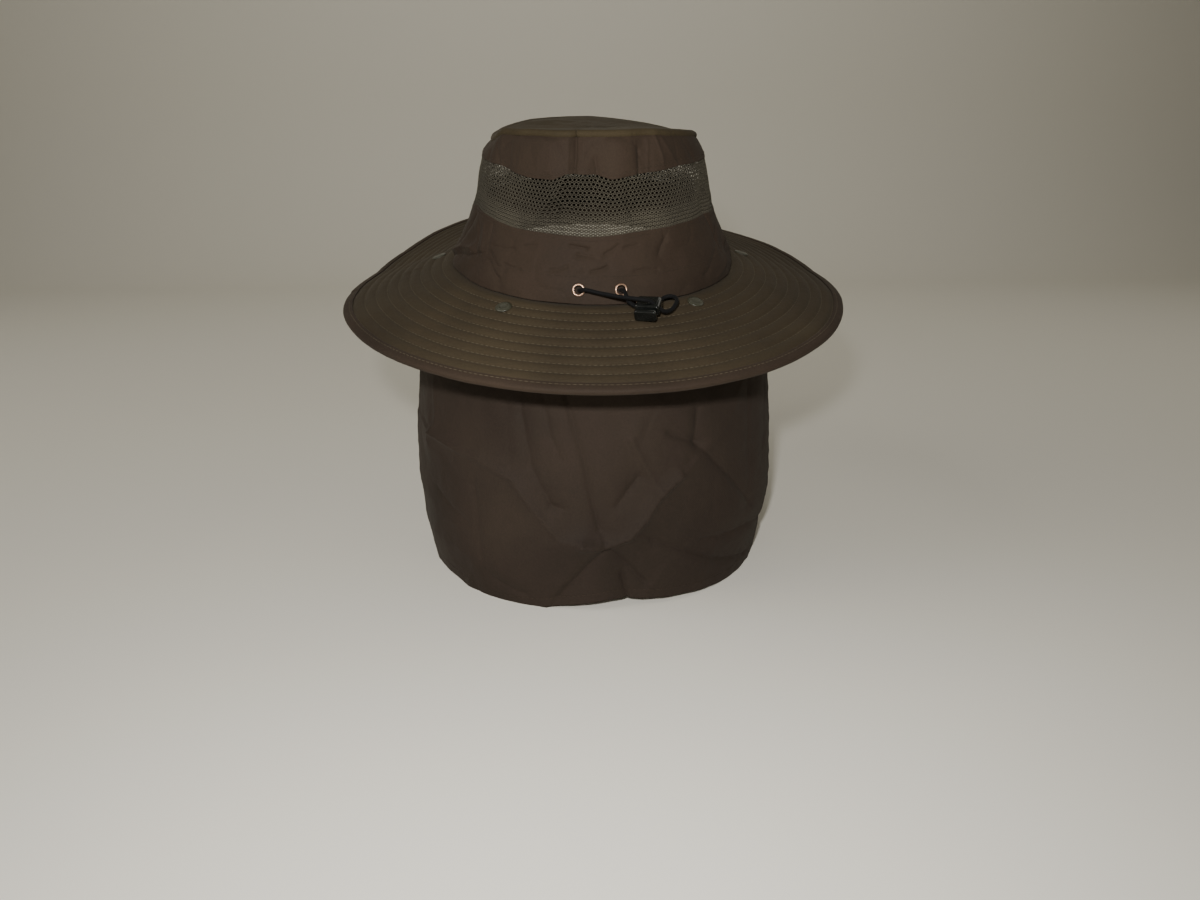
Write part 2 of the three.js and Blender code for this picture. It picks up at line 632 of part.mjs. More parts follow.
function neckFlap() {
  const hemShares = [0, 0.5];
  const bends = spaced(0, Math.PI / 2, 3);
  const fallShares = spaced(0, 1, 10).slice(1);
  const rows = hemShares.length + bends.length + fallShares.length;
  const middle = (around, row) => {
    if (row < hemShares.length) return flapHem(around, hemShares[row]);
    const step = row - hemShares.length;
    if (step < bends.length) return flapHang(around, bends[step], 0);
    const straight = flapFall(around) - cornerRise(around) - FLAP_TURN_RADIUS;
    return flapHang(around, bends.at(-1), straight * fallShares[step - bends.length]);
  };
  const arounds = spaced(-90 - FLAP_HALF_SPAN, -90 + FLAP_HALF_SPAN, FLAP_COLUMNS);
  const grid = arounds.map((around) => Array.from({ length: rows }, (_, row) => middle(around, row)));
  const faces = grid.map((column, i) => column.map((point, j) => {
    const before = grid[Math.max(i - 1, 0)][j];
    const after = grid[Math.min(i + 1, FLAP_COLUMNS)][j];
    const above = column[Math.max(j - 1, 0)];
    const below = column[Math.min(j + 1, rows - 1)];
    const out = above.clone().sub(below).cross(before.clone().sub(after)).normalize();
    const half = out.multiplyScalar(FLAP_WALL / 2);
    return [point.clone().add(half), point.clone().sub(half)];
  }));
  return withSnapHoles(sheet(faces));
}

// A closed solid from a grid of point pairs, one on each face of the cloth.
function sheet(faces) {
  const columns = faces.length;
  const rows = faces[0].length;
  const corners = [];
  const quad = (a, b, c, d) => corners.push(a, b, c, a, c, d);
  for (let i = 0; i < columns - 1; i += 1) {
    for (let j = 0; j < rows - 1; j += 1) {
      const [p, q, r, s] = [faces[i][j], faces[i + 1][j], faces[i + 1][j + 1], faces[i][j + 1]];
      quad(p[0], q[0], r[0], s[0]);
      quad(s[1], r[1], q[1], p[1]);
      if (j === 0) quad(p[1], q[1], q[0], p[0]);
      if (j === rows - 2) quad(s[0], r[0], r[1], s[1]);
      if (i === 0) quad(p[0], s[0], s[1], p[1]);
      if (i === columns - 2) quad(q[1], r[1], r[0], q[0]);
    }
  }
  return tidy(new THREE.BufferGeometry().setFromPoints(corners));
}

// Cord lock: local X runs across it towards the grommets, local Y along it to the button,
// local Z off the brim.
const lockFrame = brimFrame(LOCK_AROUND, LOCK_OFFSET, LOCK_LIFT)
  .multiply(new THREE.Matrix4().makeRotationZ(deg(LOCK_TURN)))
  .multiply(new THREE.Matrix4().makeRotationY(deg(LOCK_ROLL)))
  .multiply(new THREE.Matrix4().makeRotationX(deg(LOCK_PITCH)));

// A slug of rounded rectangular section with rounded edges, from one place along the lock to
// another.
function slug(width, from, to, edge) {
  const corner = LOCK_CORNER - edge;
  const across = width / 2 - LOCK_CORNER;
  const up = LOCK_THICKNESS / 2 - LOCK_CORNER;
  const quarter = Math.PI / 2;
  const outline = new THREE.Shape()
    .absarc(across, -up, corner, -quarter, 0)
    .absarc(across, up, corner, 0, quarter)
    .absarc(-across, up, corner, quarter, 2 * quarter)
    .absarc(-across, -up, corner, 2 * quarter, 3 * quarter);
  const body = new THREE.ExtrudeGeometry(outline, {
    depth: to - from - 2 * edge,
    bevelThickness: edge,
    bevelSize: edge,
    bevelSegments: 2,
    curveSegments: 2,
  });
  return tidy(body.translate(0, 0, from + edge).rotateX(-quarter));
}

function block(width, height, from, to) {
  return tidy(new THREE.BoxGeometry(width, to - from, height).translate(0, (from + to) / 2, 0));
}

// Point on a hole's middle line: share 0 where the cord enters the lock, 1 where it leaves.
const holePoint = ({ enter, leave }, share) => new THREE.Vector3(
  (THREE.MathUtils.lerp(enter.across, leave.across, share) * LOCK_WIDTH) / 2,
  0,
  (THREE.MathUtils.lerp(enter.up, leave.up, share) * LOCK_THICKNESS) / 2,
);

// Cutter for a hole of the lock, drawn out towards the button by a length.
function holeCutter(hole, length) {
  const outline = new THREE.Shape()
    .absarc(length, 0, LOCK_HOLE_RADIUS, -Math.PI / 2, Math.PI / 2)
    .absarc(0, 0, LOCK_HOLE_RADIUS, Math.PI / 2, (3 * Math.PI) / 2);
  const start = holePoint(hole, -1);
  const run = holePoint(hole, 2).sub(start);
  const along = new THREE.Vector3(0, 1, 0);
  const up = run.clone().normalize();
  const frame = new THREE.Matrix4().makeBasis(along, up.clone().cross(along), up).setPosition(start);
  return toSolid(tidy(new THREE.ExtrudeGeometry(outline, {
    depth: run.length(),
    bevelEnabled: false,
    curveSegments: 3,
  }).applyMatrix4(frame)));
}

const withStrandHoles = (solid, length) => (
  LOCK_HOLES.reduce((rest, hole) => rest.subtract(holeCutter(hole, length)), solid)
);

function lockBody() {
  const bore = block(LOCK_BORE_WIDTH, LOCK_BORE_HEIGHT, LOCK_BORE_END, LOCK_MOUTH + LOCK_EDGE);
  const body = toSolid(slug(LOCK_WIDTH, LOCK_FAR_END, LOCK_MOUTH, LOCK_EDGE));
  return toGeometry(withStrandHoles(body.subtract(toSolid(bore)), 0));
}

// The button stands off the mouth by its travel, on a stem that leaves room for both strands.
function lockPlunger() {
  const start = LOCK_MOUTH + LOCK_TRAVEL + SOFT_GAP;
  const button = slug(LOCK_BUTTON_WIDTH, start, start + LOCK_BUTTON_LENGTH, LOCK_BUTTON_EDGE);
  const stem = block(LOCK_STEM_WIDTH, LOCK_STEM_HEIGHT, LOCK_STEM_END, start + LOCK_BUTTON_LENGTH / 2);
  return toGeometry(toSolid(button).add(withStrandHoles(toSolid(stem), LOCK_TRAVEL)));
}

// Drawcord: out of one grommet, through the lock, round a loop and back to the other grommet.
function drawcord() {
  const [left, right] = grommetPlaces.map((place) => grommetFrame(place.around));
  const inside = (frame) => new THREE.Vector3(0, 0, -GROMMET_DEPTH).applyMatrix4(frame);
  const offGrommet = (frame) => ({ level, rise, out }) => (
    new THREE.Vector3(level, rise, out).multiplyScalar(CORD_DIAMETER).applyMatrix4(frame)
  );
  const offLock = ({ across, along, up }) => (
    new THREE.Vector3(across, along, up).multiplyScalar(CORD_DIAMETER).applyMatrix4(lockFrame)
  );
  const inHole = (hole, shares) => shares.map((share) => holePoint(hole, share).applyMatrix4(lockFrame));
  const [first, second] = LOCK_HOLES;
  const route = [
    inside(left),
    ...CORD_START.map(offGrommet(left)),
    ...CORD_LEAD.map(offLock),
    ...inHole(first, [-0.28, 0.5, 1]),
    ...CORD_LOOP.map(offLock),
    ...inHole(second, [0.5, 1]),
    ...CORD_TAIL.map(offLock),
    ...CORD_END.map(offGrommet(right)),
    inside(right),
  ];
  const section = new THREE.Shape(
    spaced(0, 2 * Math.PI, CORD_SIDES).slice(0, -1)
      .map((turn) => new THREE.Vector2(CORD_RADIUS * Math.cos(turn), CORD_RADIUS * Math.sin(turn))),
  );
  return tidy(new THREE.ExtrudeGeometry(section, {
    steps: CORD_STEPS,
    extrudePath: new THREE.CatmullRomCurve3(route, false, 'centripetal'),
  }));
}

const hat = new THREE.Group();
hat.rotation.x = deg(BACK_TILT);

hat.add(named('crown_top', crownTop(), cloth));
hat.add(named(
  'crown_upper_band',
  crownBand(MESH_TOP + SOFT_GAP / 2, RIM_HEIGHT - SOFT_GAP, 3, () => PANEL_WALL),
  cloth,
));
hat.add(named(
  'crown_mesh_band',
  crownBand(MESH_BOTTOM + SOFT_GAP / 2, MESH_TOP - SOFT_GAP / 2, 5, () => MESH_WALL),
  netting,
));
hat.add(named('crown_lower_band', crownLowerBand(), cloth));
hat.add(named('brim', brim(), cloth));
hat.add(named('brim_binding', brimBinding(), cloth));
hat.add(named('neck_flap', neckFlap(), cloth));

for (const { name, around } of grommetPlaces) {
  const ringMesh = named(name, grommet(), brass);
  ringMesh.applyMatrix4(grommetFrame(around));
  hat.add(ringMesh);
}
for (const place of SNAPS) {
  const snapMesh = named(place.name, snap(), snapPlastic);
  snapMesh.applyMatrix4(snapFrame(place));
  hat.add(snapMesh);
}

const lock = new THREE.Group();
lock.applyMatrix4(lockFrame);
lock.add(named('cord_lock_body', lockBody(), blackPlastic));
lock.add(named('cord_lock_plunger', lockPlunger(), blackPlastic));
hat.add(lock);
hat.add(named('drawcord', drawcord(), blackCord));

const part = new THREE.Group();
part.add(hat);
export default part;
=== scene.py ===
import math

import bmesh
import bpy
import numpy as np
from mathutils import Matrix, Vector


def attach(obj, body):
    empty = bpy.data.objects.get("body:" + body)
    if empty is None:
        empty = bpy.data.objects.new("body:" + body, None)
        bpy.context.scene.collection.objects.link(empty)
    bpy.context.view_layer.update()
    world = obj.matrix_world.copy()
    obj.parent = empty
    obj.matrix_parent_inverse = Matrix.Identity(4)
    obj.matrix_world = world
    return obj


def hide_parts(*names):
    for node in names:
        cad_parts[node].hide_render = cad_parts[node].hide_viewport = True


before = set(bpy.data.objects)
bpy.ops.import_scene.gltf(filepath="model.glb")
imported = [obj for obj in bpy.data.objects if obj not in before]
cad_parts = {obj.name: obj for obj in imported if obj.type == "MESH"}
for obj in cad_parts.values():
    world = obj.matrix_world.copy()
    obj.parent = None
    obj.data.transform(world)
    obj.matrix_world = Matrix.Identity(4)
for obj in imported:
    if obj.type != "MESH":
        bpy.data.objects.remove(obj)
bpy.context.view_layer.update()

# Sizes shared with the part's source
HEAD_HALF_WIDTH = 88.0
HEAD_HALF_LENGTH = 94.0
BACK_TILT = math.radians(9.6)
SOFT_GAP = 0.3
CROWN_HEIGHT = 77.5
RIM_HEIGHT = 76.0
MESH_TOP = 64.5
MESH_BOTTOM = 35.0
CHANNEL_HEIGHT = 18.0
CHANNEL_WALL = 2.8
BRIM_WIDTH = 72.0
BRIM_MARGIN = 3.4
BRIM_HALF = 0.8
RIB_COUNT = 9
BINDING_WIDTH = 6.5
BINDING_WALL = 0.9
FLAP_WALL = 1.2
FLAP_HALF_SPAN = 104.0
FLAP_HEM_START = 4.0
FLAP_HEM_WIDTH = 12.5
FLAP_TURN_RADIUS = 1.5
FLAP_DEPTH = 192.0
FLAP_BELL = 13.0
FLAP_BACK_BELL = 0.1
FLAP_CORNER = 35.0
SNAP_CAP_RADIUS = 4.7
SNAP_CAP_HEIGHT = 1.3
SNAP_POST_RADIUS = 1.4
SNAP_SOCKET_RADIUS = 3.2
SNAP_SOCKET_HEIGHT = 1.8
GROMMET_RADIUS = 3.5
GROMMET_BORE_RADIUS = 2.3
GROMMET_WALL = 0.5
GROMMET_FLANGE = 0.7
GROMMET_DEPTH = 1.6
GROMMET_HEIGHT = 8.4
GROMMET_MIDDLE = -90.75
GROMMET_HALF_ANGLE = 7.7
CORD_DIAMETER = 2.2
CORD_CLEARANCE = 0.35
LOCK_WIDTH = 13.5
LOCK_THICKNESS = 6.6
LOCK_CORNER = 1.7
LOCK_EDGE = 1.3
LOCK_WALL = 1.2
LOCK_END_WALL = 1.6
LOCK_STEM_WALL = 0.8
LOCK_TRAVEL = 2.0
LOCK_BUTTON_LENGTH = 2.4
LOCK_BUTTON_WIDTH = 12.0
LOCK_BUTTON_EDGE = 0.8
LOCK_AROUND = -76.8
LOCK_OFFSET = 13.0
LOCK_TURN = -32.0
LOCK_ROLL = 12.0
LOCK_PITCH = -7.0
RIB_RISE = 0.6

# Sizes of the looks alone. The net's hole sizes are shares of the step from hole to hole, and the
# usual fall turns the shares of FLAP_CREASES into mm.
NET_PITCH = 2.45
NET_ROW_PITCH = NET_PITCH * 0.8
NET_REACH = 0.83
NET_HOLE_WIDTH = 0.38
NET_HOLE_HEIGHT = 0.34
NET_FOOT_SIZE = 0.36
NET_DEPTH = 0.3
NET_WALL = 0.35
PANEL_WALL = 1.2
CHANNEL_LINING = 0.6
TOP_LIP = 1.1
SEAM_OVERLAP = 0.4
BRIM_WAVE = 0.5
RIB_SWELL = 0.95
PUCKER_DEPTH = 0.12
STITCH_FROM_SEAM = 1.6
STITCH_PITCH = 3.0
STITCH_LENGTH = 2.1
STITCH_RADIUS = 0.16
STITCH_LIFT = 0.08
BRIM_COLUMNS = 420
USUAL_FALL = FLAP_DEPTH * 0.88
CREASE_CORE = 1.2
FLAP_CLOTH = 1.0

RIB_PITCH = (BRIM_WIDTH - BINDING_WIDTH) / RIB_COUNT
RIBBED_WIDTH = RIB_PITCH * RIB_COUNT
BRIM_EDGE = BRIM_WIDTH - BINDING_WALL - SOFT_GAP
FLAP_HANG_OFFSET = FLAP_HEM_START + FLAP_HEM_WIDTH
FLAP_LIFT = -(BRIM_HALF + SOFT_GAP + FLAP_WALL / 2)
GROMMET_HOLE = GROMMET_BORE_RADIUS + 0.45
LOCK_HOLE_RADIUS = CORD_DIAMETER / 2 + CORD_CLEARANCE
LOCK_BORE_WIDTH = LOCK_WIDTH - 2 * LOCK_WALL
LOCK_BORE_HEIGHT = LOCK_THICKNESS - 2 * LOCK_WALL
LOCK_STEM_WIDTH = LOCK_BORE_WIDTH - 2 * SOFT_GAP
LOCK_STEM_HEIGHT = LOCK_BORE_HEIGHT - 2 * SOFT_GAP
LOCK_LIFT = BRIM_HALF + RIB_RISE + SOFT_GAP + CORD_DIAMETER + LOCK_THICKNESS / 2
LOCK_MOUTH = LOCK_HOLE_RADIUS + LOCK_END_WALL
LOCK_STEM_END = -(LOCK_HOLE_RADIUS + LOCK_STEM_WALL)
LOCK_BORE_END = LOCK_STEM_END - LOCK_TRAVEL - SOFT_GAP
LOCK_FAR_END = LOCK_BORE_END - LOCK_END_WALL

PLUMB = np.array([0.0, -math.sin(BACK_TILT), -math.cos(BACK_TILT)])
HAT_TURN = np.array([
    [1, 0, 0],
    [0, math.cos(BACK_TILT), -math.sin(BACK_TILT)],
    [0, math.sin(BACK_TILT), math.cos(BACK_TILT)],
])

# Tables shared with the part's source
CROWN_HEIGHTS = (0, 0.06, 0.13, 0.23, 0.34, 0.45, 0.58, 0.71, 0.846, 0.91, 0.955, 1)
CROWN_REACHES = (1, 0.987, 0.967, 0.926, 0.878, 0.84, 0.811, 0.788, 0.757, 0.73, 0.703, 0.665)
SAG_AROUND = (-180, -170, -160, -150, -130, -110, -90, -70, -60, -40, -20, 0, 30, 60, 90, 130, 160, 180)
SAG_SHARE = (0.045, 0.035, -0.006, -0.06, -0.084, -0.097, -0.106, -0.106, -0.1, -0.068, -0.026, 0.03,
             0.06, 0.04, 0.015, 0.015, 0.04, 0.045)
SLOPE_AROUND = (-180, -155, -125, -90, -60, -35, -10, 10, 30, 50, 90, 123, 135, 148, 162, 180)
SLOPE_DEGREES = (19, 15.5, 15.5, 15.8, 15.5, 15, 15, 16.3, 13.5, 12, 7, 7, 10.5, 16.5, 20.5, 19)
FALL_DROPS = (0, 0.1, 0.25, 0.5, 0.7, 0.85, 1)
FALL_BELLS = (0, 0.15, 0.55, 0.88, 1, 0.92, 0.5)

# Lower edge of the flap: place around in degrees, extra length in mm
EDGE_AROUND = (-145, -128, -118, -108, -101, -95, -88, -75, -60, -45)
EDGE_LONGER = (0, 3.5, 3.5, 1.0, -1.5, -3.5, -5, -3, -2, 0)

# Waves of the net's seams: place around in degrees, rise in mm
NET_TOP_AROUND = (-175, -147, -125, -112, -106, -93, -85, -73, -46, -25, 0)
NET_TOP_RISE = (0, 0.3, -2.7, -2.5, 0.8, 0.8, -1.5, 0.3, 2.0, 1.2, 0)
NET_FOOT_AROUND = (-180, -163, -140, -125, -94, -77, -54, -35, -15)
NET_FOOT_RISE = (0, 3.0, 0.3, -0.5, -1.3, 0.3, 1.5, 1.6, 0)

# Soft forms of the crown wall: around, up (share of the crown's height), wide (degrees),
# tall (share of the height), push (share of the head's half width), lean (degrees)
CROWN_FORMS = (
    (-116, 0.9, 13, 0.1, 0.022, 0),
    (-102, 0.9, 5, 0.12, -0.026, 10),
    (-91, 0.86, 5, 0.1, -0.02, -20),
    (-79, 0.9, 9, 0.1, 0.02, 0),
    (-68, 0.88, 5, 0.12, -0.03, 0),
    (-50, 0.87, 7, 0.08, -0.015, 30),
    (-141, 0.8, 6, 0.12, -0.022, -20),
    (-118, 0.62, 6, 0.17, 0.026, 70),
    (-106, 0.56, 6, 0.09, -0.034, 60),
    (-94, 0.52, 6, 0.08, 0.018, 0),
    (-72, 0.6, 6, 0.2, -0.018, -20),
    (-56, 0.66, 9, 0.14, 0.014, 0),
    (-30, 0.55, 6, 0.2, -0.016, 20),
    (-172, 0.05, 9, 0.09, 0.02, 0),
    (-160, 0.22, 6, 0.12, -0.026, 50),
    (-148, 0.14, 6, 0.12, -0.02, 60),
    (-16, 0.16, 6, 0.12, -0.022, -50),
    (-4, 0.1, 6, 0.1, 0.014, 0),
    (-125, 0.25, 8, 0.08, -0.012, 0),
    (-60, 0.25, 8, 0.08, -0.012, 0),
    (30, 0.6, 10, 0.25, -0.02, 30),
    (62, 0.7, 9, 0.2, -0.022, -20),
    (100, 0.62, 12, 0.22, -0.018, 20),
    (140, 0.66, 9, 0.2, -0.02, -30),
)

# Creases of the crown wall: points (around in degrees, height in mm), width on each side of the
# line in mm, push outwards in mm. The sides are left and right when going along the line.
CROWN_CREASES = (
    (((-146, 71), (-138, 74.6), (-122, 75.6), (-111, 74.6), (-106, 70)), 2.0, 1.0, -0.7),
    (((-97.5, 69), (-93, 73.5), (-82.5, 75.2), (-74, 73.6), (-69.5, 69)), 2.0, 1.0, -0.8),
    (((-102.4, 76), (-102, 70), (-102.2, 65)), 0.9, 1.4, -1.5),
    (((-105.8, 75), (-105.2, 66)), 1.4, 1.6, 0.7),
    (((-98.5, 73), (-97.5, 66)), 1.5, 1.8, 0.4),
    (((-92.6, 69), (-91.2, 64)), 1.6, 2.2, -1.1),
    (((-70.8, 70.5), (-71.5, 64.5)), 1.3, 1.6, -1.4),
    (((-65.5, 73), (-66.5, 66)), 1.6, 1.8, 0.6),
    (((-61, 74.5), (-58, 68.5)), 0.9, 1.2, 0.8),
    (((-57, 74), (-50, 68), (-47, 65)), 1.2, 2.0, 0.6),
    (((-40, 73), (-34, 67)), 2.0, 2.0, -0.7),
    (((-140, 74), (-139, 66)), 2.0, 2.0, -0.4),
    (((-152, 72), (-147, 66)), 1.5, 2.5, -0.9),
    (((-125, 72), (-121, 66)), 4.0, 4.0, -0.4),
    (((-106.5, 63), (-112, 52), (-120, 40)), 2.2, 3.4, 1.7),
    (((-110.5, 54), (-103, 48), (-98, 45)), 1.4, 2.4, 0.9),
    (((-112, 52), (-108, 46), (-110, 42)), 3.0, 2.6, -1.6),
    (((-98, 45), (-92, 41), (-88, 36)), 2.0, 3.0, 0.8),
    (((-93, 62), (-95, 54), (-90, 47)), 2.4, 2.4, -0.7),
    (((-77, 62), (-78, 50), (-75, 38)), 4.0, 3.0, -0.9),
    (((-128, 60), (-131, 48), (-126, 38)), 3.0, 3.0, -0.7),
    (((-61, 31), (-63.5, 27), (-65.5, 23)), 0.9, 2.2, -1.2),
    (((-163, 34), (-168, 22), (-176, 10)), 2.5, 3.5, -1.4),
    (((-140, 14.8), (-136, 11), (-132, 8)), 0.9, 1.8, -2.0),
    (((-177, 4), (-166, 9.5), (-156.5, 12), (-147, 17)), 1.4, 2.6, -1.8),
    (((-178, 7), (-166, 14), (-156, 17)), 2.4, 2.4, 2.2),
    (((-155.5, 29.5), (-151, 16.5)), 1.4, 2.4, -1.2),
    (((-144, 33), (-142, 18.5)), 1.2, 2.0, -0.9),
    (((-150, 31), (-147, 22), (-146, 16)), 2.0, 2.0, 0.9),
    (((-140, 19), (-134, 14), (-130, 13)), 1.2, 1.8, -0.9),
    (((-29, 38), (-26, 26), (-24, 14)), 2.0, 3.0, -1.2),
    (((-20, 26), (-32, 16), (-44, 8)), 2.5, 3.0, -1.0),
    (((-10, 18), (-24, 8), (-36, 4)), 2.0, 2.5, 0.8),
    (((-140, 23), (-134, 23.2), (-128, 24.2)), 1.0, 1.6, -0.8),
    (((-123, 26.4), (-118, 28)), 0.9, 1.4, -0.8),
    (((-102.5, 29.4), (-98.5, 28.6), (-95.5, 28)), 1.0, 1.4, -1.2),
    (((-96, 28), (-98, 26.4), (-99.5, 25.2)), 1.2, 1.2, -0.7),
    (((-99.5, 25), (-93, 24.6)), 0.9, 1.5, -1.1),
    (((-88.5, 25.6), (-85.5, 27.6), (-83, 29.8)), 0.9, 1.3, -1.1),
    (((-80.5, 28.4), (-77, 29), (-74.5, 29.4)), 0.9, 1.3, -0.9),
    (((-131, 15.6), (-127, 15), (-123, 14.8)), 0.9, 1.3, -0.9),
    (((-110.8, 16.8), (-107, 17.6), (-103.5, 19.6)), 0.9, 1.3, -1.0),
    (((-99, 17.6), (-97.4, 18.4)), 0.9, 1.2, -0.8),
    (((-93.8, 17.4), (-91, 18), (-87.5, 19.6)), 0.9, 1.4, -1.2),
    (((-76.8, 16.8), (-73, 17.4), (-67.5, 16.4)), 0.9, 1.4, -0.9),
    (((20, 70), (34, 50), (40, 34)), 3.0, 4.0, -1.2),
    (((58, 72), (66, 56), (60, 40)), 3.0, 4.0, -1.2),
    (((96, 70), (104, 50), (98, 34)), 4.0, 3.0, -1.1),
    (((142, 68), (134, 50), (140, 30)), 3.0, 4.0, -1.2),
    (((40, 24), (52, 14), (64, 10)), 2.0, 3.0, -0.9),
    (((118, 24), (104, 14), (92, 12)), 2.0, 3.0, -0.9),
)

# Folds of the flap: points (around in degrees, share of the fall), width on each side of the line
# in mm, push outwards in mm.
FLAP_CREASES = (
    (((-115, 0.2), (-115, 0.29), (-112, 0.47), (-106, 0.61)), 3.0, 7.0, -2.0),
    (((-106, 0.61), (-102.5, 0.62)), 1.5, 2.5, -1.2),
    (((-109, 0.18), (-106, 0.36), (-103, 0.44)), 2.5, 5.0, -1.5),
    (((-102, 0.2), (-96, 0.46), (-93.5, 0.61), (-91.5, 0.71)), 2.5, 6.0, -2.2),
    (((-152, 0.46), (-129, 0.464), (-117.5, 0.508), (-110.5, 0.616), (-103, 0.724), (-96.5, 0.74)),
     14.0, 5.0, 4.0),
    (((-96.5, 0.75), (-89.5, 0.775), (-82.5, 0.74), (-77.5, 0.672), (-73, 0.576), (-66.5, 0.52)),
     9.0, 4.0, 5.0),
    (((-82, 0.376), (-78, 0.47), (-73, 0.568)), 3.0, 6.0, 2.0),
    (((-86, 0.63), (-79, 0.52)), 5.0, 6.0, -2.6),
    (((-89.5, 0.78), (-97, 0.87), (-105, 0.964)), 3.0, 8.0, -2.4),
    (((-88, 0.788), (-82, 0.86), (-76.5, 0.932)), 7.0, 3.0, -2.4),
    (((-84, 0.9), (-82, 1.0)), 14.0, 14.0, -4.5),
    (((-70, 0.372), (-60, 0.428)), 2.0, 5.0, -2.0),
    (((-60.5, 0.3), (-60, 0.428)), 3.0, 3.0, -1.6),
    (((-60, 0.428), (-46, 0.58), (-33, 0.732)), 3.0, 8.0, -2.2),
    (((-57, 0.788), (-32, 0.82), (-10.5, 0.888)), 4.0, 6.0, -1.8),
    (((-75, 0.756), (-50.5, 0.888), (-30, 0.96)), 3.0, 8.0, -2.2),
    (((-37, 0.2), (-36, 0.45), (-34, 0.66)), 6.0, 3.0, -1.0),
    (((-132, 0.58), (-130.5, 0.84)), 4.0, 9.0, -1.8),
    (((-149, 0.66), (-142, 0.7), (-136, 0.72)), 6.0, 3.0, -0.9),
    (((-128, 0.9), (-121, 0.93), (-115, 0.95)), 4.0, 5.0, -1.6),
    (((-152, 0.3), (-150, 0.428), (-154, 0.5)), 2.0, 4.0, 1.2),
    (((-176, 0.1), (-172, 0.4), (-166, 0.7)), 10.0, 10.0, 1.2),
    (((-186, 0.2), (-184, 0.5), (-188, 0.8)), 6.0, 8.0, -2.0),
    (((-8, 0.12), (-6, 0.45), (-12, 0.8)), 16.0, 16.0, 1.8),
    (((4, 0.2), (2, 0.5), (6, 0.8)), 6.0, 8.0, -1.0),
    (((-22, 0.1), (-20, 0.35), (-24, 0.6)), 5.0, 5.0, -0.7),
)

# Snaps: name, place along the flap's hem as a share of its half span, offset down the brim as a
# share of its width
SNAPS = (
    ("flap_snap_left_front", -0.947, 0.18),
    ("flap_snap_left_back", -0.3125, 0.155),
    ("flap_snap_right_back", 0.3173, 0.11),
    ("flap_snap_right_front", 0.947, 0.18),
)
GROMMETS = (
    ("grommet_left", GROMMET_MIDDLE - GROMMET_HALF_ANGLE),
    ("grommet_right", GROMMET_MIDDLE + GROMMET_HALF_ANGLE),
)

# Holes of the cord lock: where the cord enters and leaves, across and up, as shares of half its
# width and thickness
LOCK_HOLES = (((-0.4, 1), (-1, -0.227)), ((0.267, -1), (1, 0.121)))

# Route of the drawcord in cord diameters, as in the part's source. Start and end are in a grommet's
# frame (level, rise, out), the rest in the lock's (across, along, up).
CORD_START = ((0.09, 0, 0.27), (0.77, 0, 1.5), (2.09, 0.05, 2.27))
CORD_LEAD = ((12.41, -0.82, 3.2), (9.45, -0.41, 3), (6.73, 0, 2.9), (4.05, 0.41, 3), (1, 0.55, 2.77))
CORD_LOOP = (
    (-3.77, -0.16, -1), (-4.55, -0.86, -1.57), (-5.23, -2.1, -1.95), (-5.64, -3.82, -2.18),
    (-5.77, -5.82, -2.27), (-5.17, -7.26, -2.36), (-3.73, -7.86, -2.45), (-2.28, -7.26, -2.54),
    (-1.68, -5.82, -2.61), (-1.62, -4.1, -2.55), (-1.3, -2.45, -2.41), (-0.68, -0.95, -2.27),
    (0.14, -0.11, -2.02),
)
CORD_TAIL = ((3.91, -0.05, 0.75), (4.82, -0.55, 1.18), (5.41, -1.45, 1.41))
CORD_END = ((0.41, -0.23, 1.64), (0.07, 0, 0.55))


def smoothstep(value, low, high):
    share = np.clip((value - low) / (high - low), 0, 1)
    return share * share * (3 - 2 * share)


def wrap(around):
    return (around + 180) % 360 - 180


def value_noise(x, y, seed):
    """Smooth noise from -1 to 1, with lumps about one unit across."""
    table = np.random.RandomState(seed).uniform(-1, 1, (64, 64))
    cell_x, cell_y = np.floor(x).astype(int), np.floor(y).astype(int)
    share_x, share_y = smoothstep(x - cell_x, 0, 1), smoothstep(y - cell_y, 0, 1)
    corner = lambda i, j: table[(cell_x + i) % 64, (cell_y + j) % 64]
    low = corner(0, 0) * (1 - share_x) + corner(1, 0) * share_x
    high = corner(0, 1) * (1 - share_x) + corner(1, 1) * share_x
    return low * (1 - share_y) + high * share_y


def layered_noise(x, y, seed):
    """Three layers of noise, each finer and weaker than the last."""
    return (value_noise(x, y, seed) + 0.5 * value_noise(x * 2.1 + 7, y * 2.1 + 3, seed + 1)
            + 0.25 * value_noise(x * 4.3 + 1, y * 4.3 + 5, seed + 2))


def crease_push(x, y, creases, scale_x, scale_y):
    """Sum of the creases at points (x, y) in mm; the table's points are scaled to mm first."""
    push = np.zeros(np.broadcast(x, y).shape)
    for points, left, right, depth in creases:
        nearest = np.full(push.shape, np.inf)
        side = np.zeros(push.shape)
        for (x0, y0), (x1, y1) in zip(points, points[1:]):
            start_x, start_y = x0 * scale_x, y0 * scale_y
            run_x, run_y = (x1 - x0) * scale_x, (y1 - y0) * scale_y
            away_x, away_y = x - start_x, y - start_y
            share = np.clip((away_x * run_x + away_y * run_y) / (run_x ** 2 + run_y ** 2), 0, 1)
            gap = np.hypot(away_x - share * run_x, away_y - share * run_y)
            closer = gap < nearest
            nearest = np.where(closer, gap, nearest)
            side = np.where(closer, run_x * away_y - run_y * away_x, side)
        width = np.where(side > 0, left, right)
        push += depth * (0.75 * np.exp(-(nearest / width) ** 1.15) + 0.35 * np.exp(-nearest / CREASE_CORE))
    return push


def wrinkles(x, y, seed):
    """A net of thin raised lines, each height from 0 to 1."""
    return (1 - np.abs(value_noise(x, y, seed))) ** 7


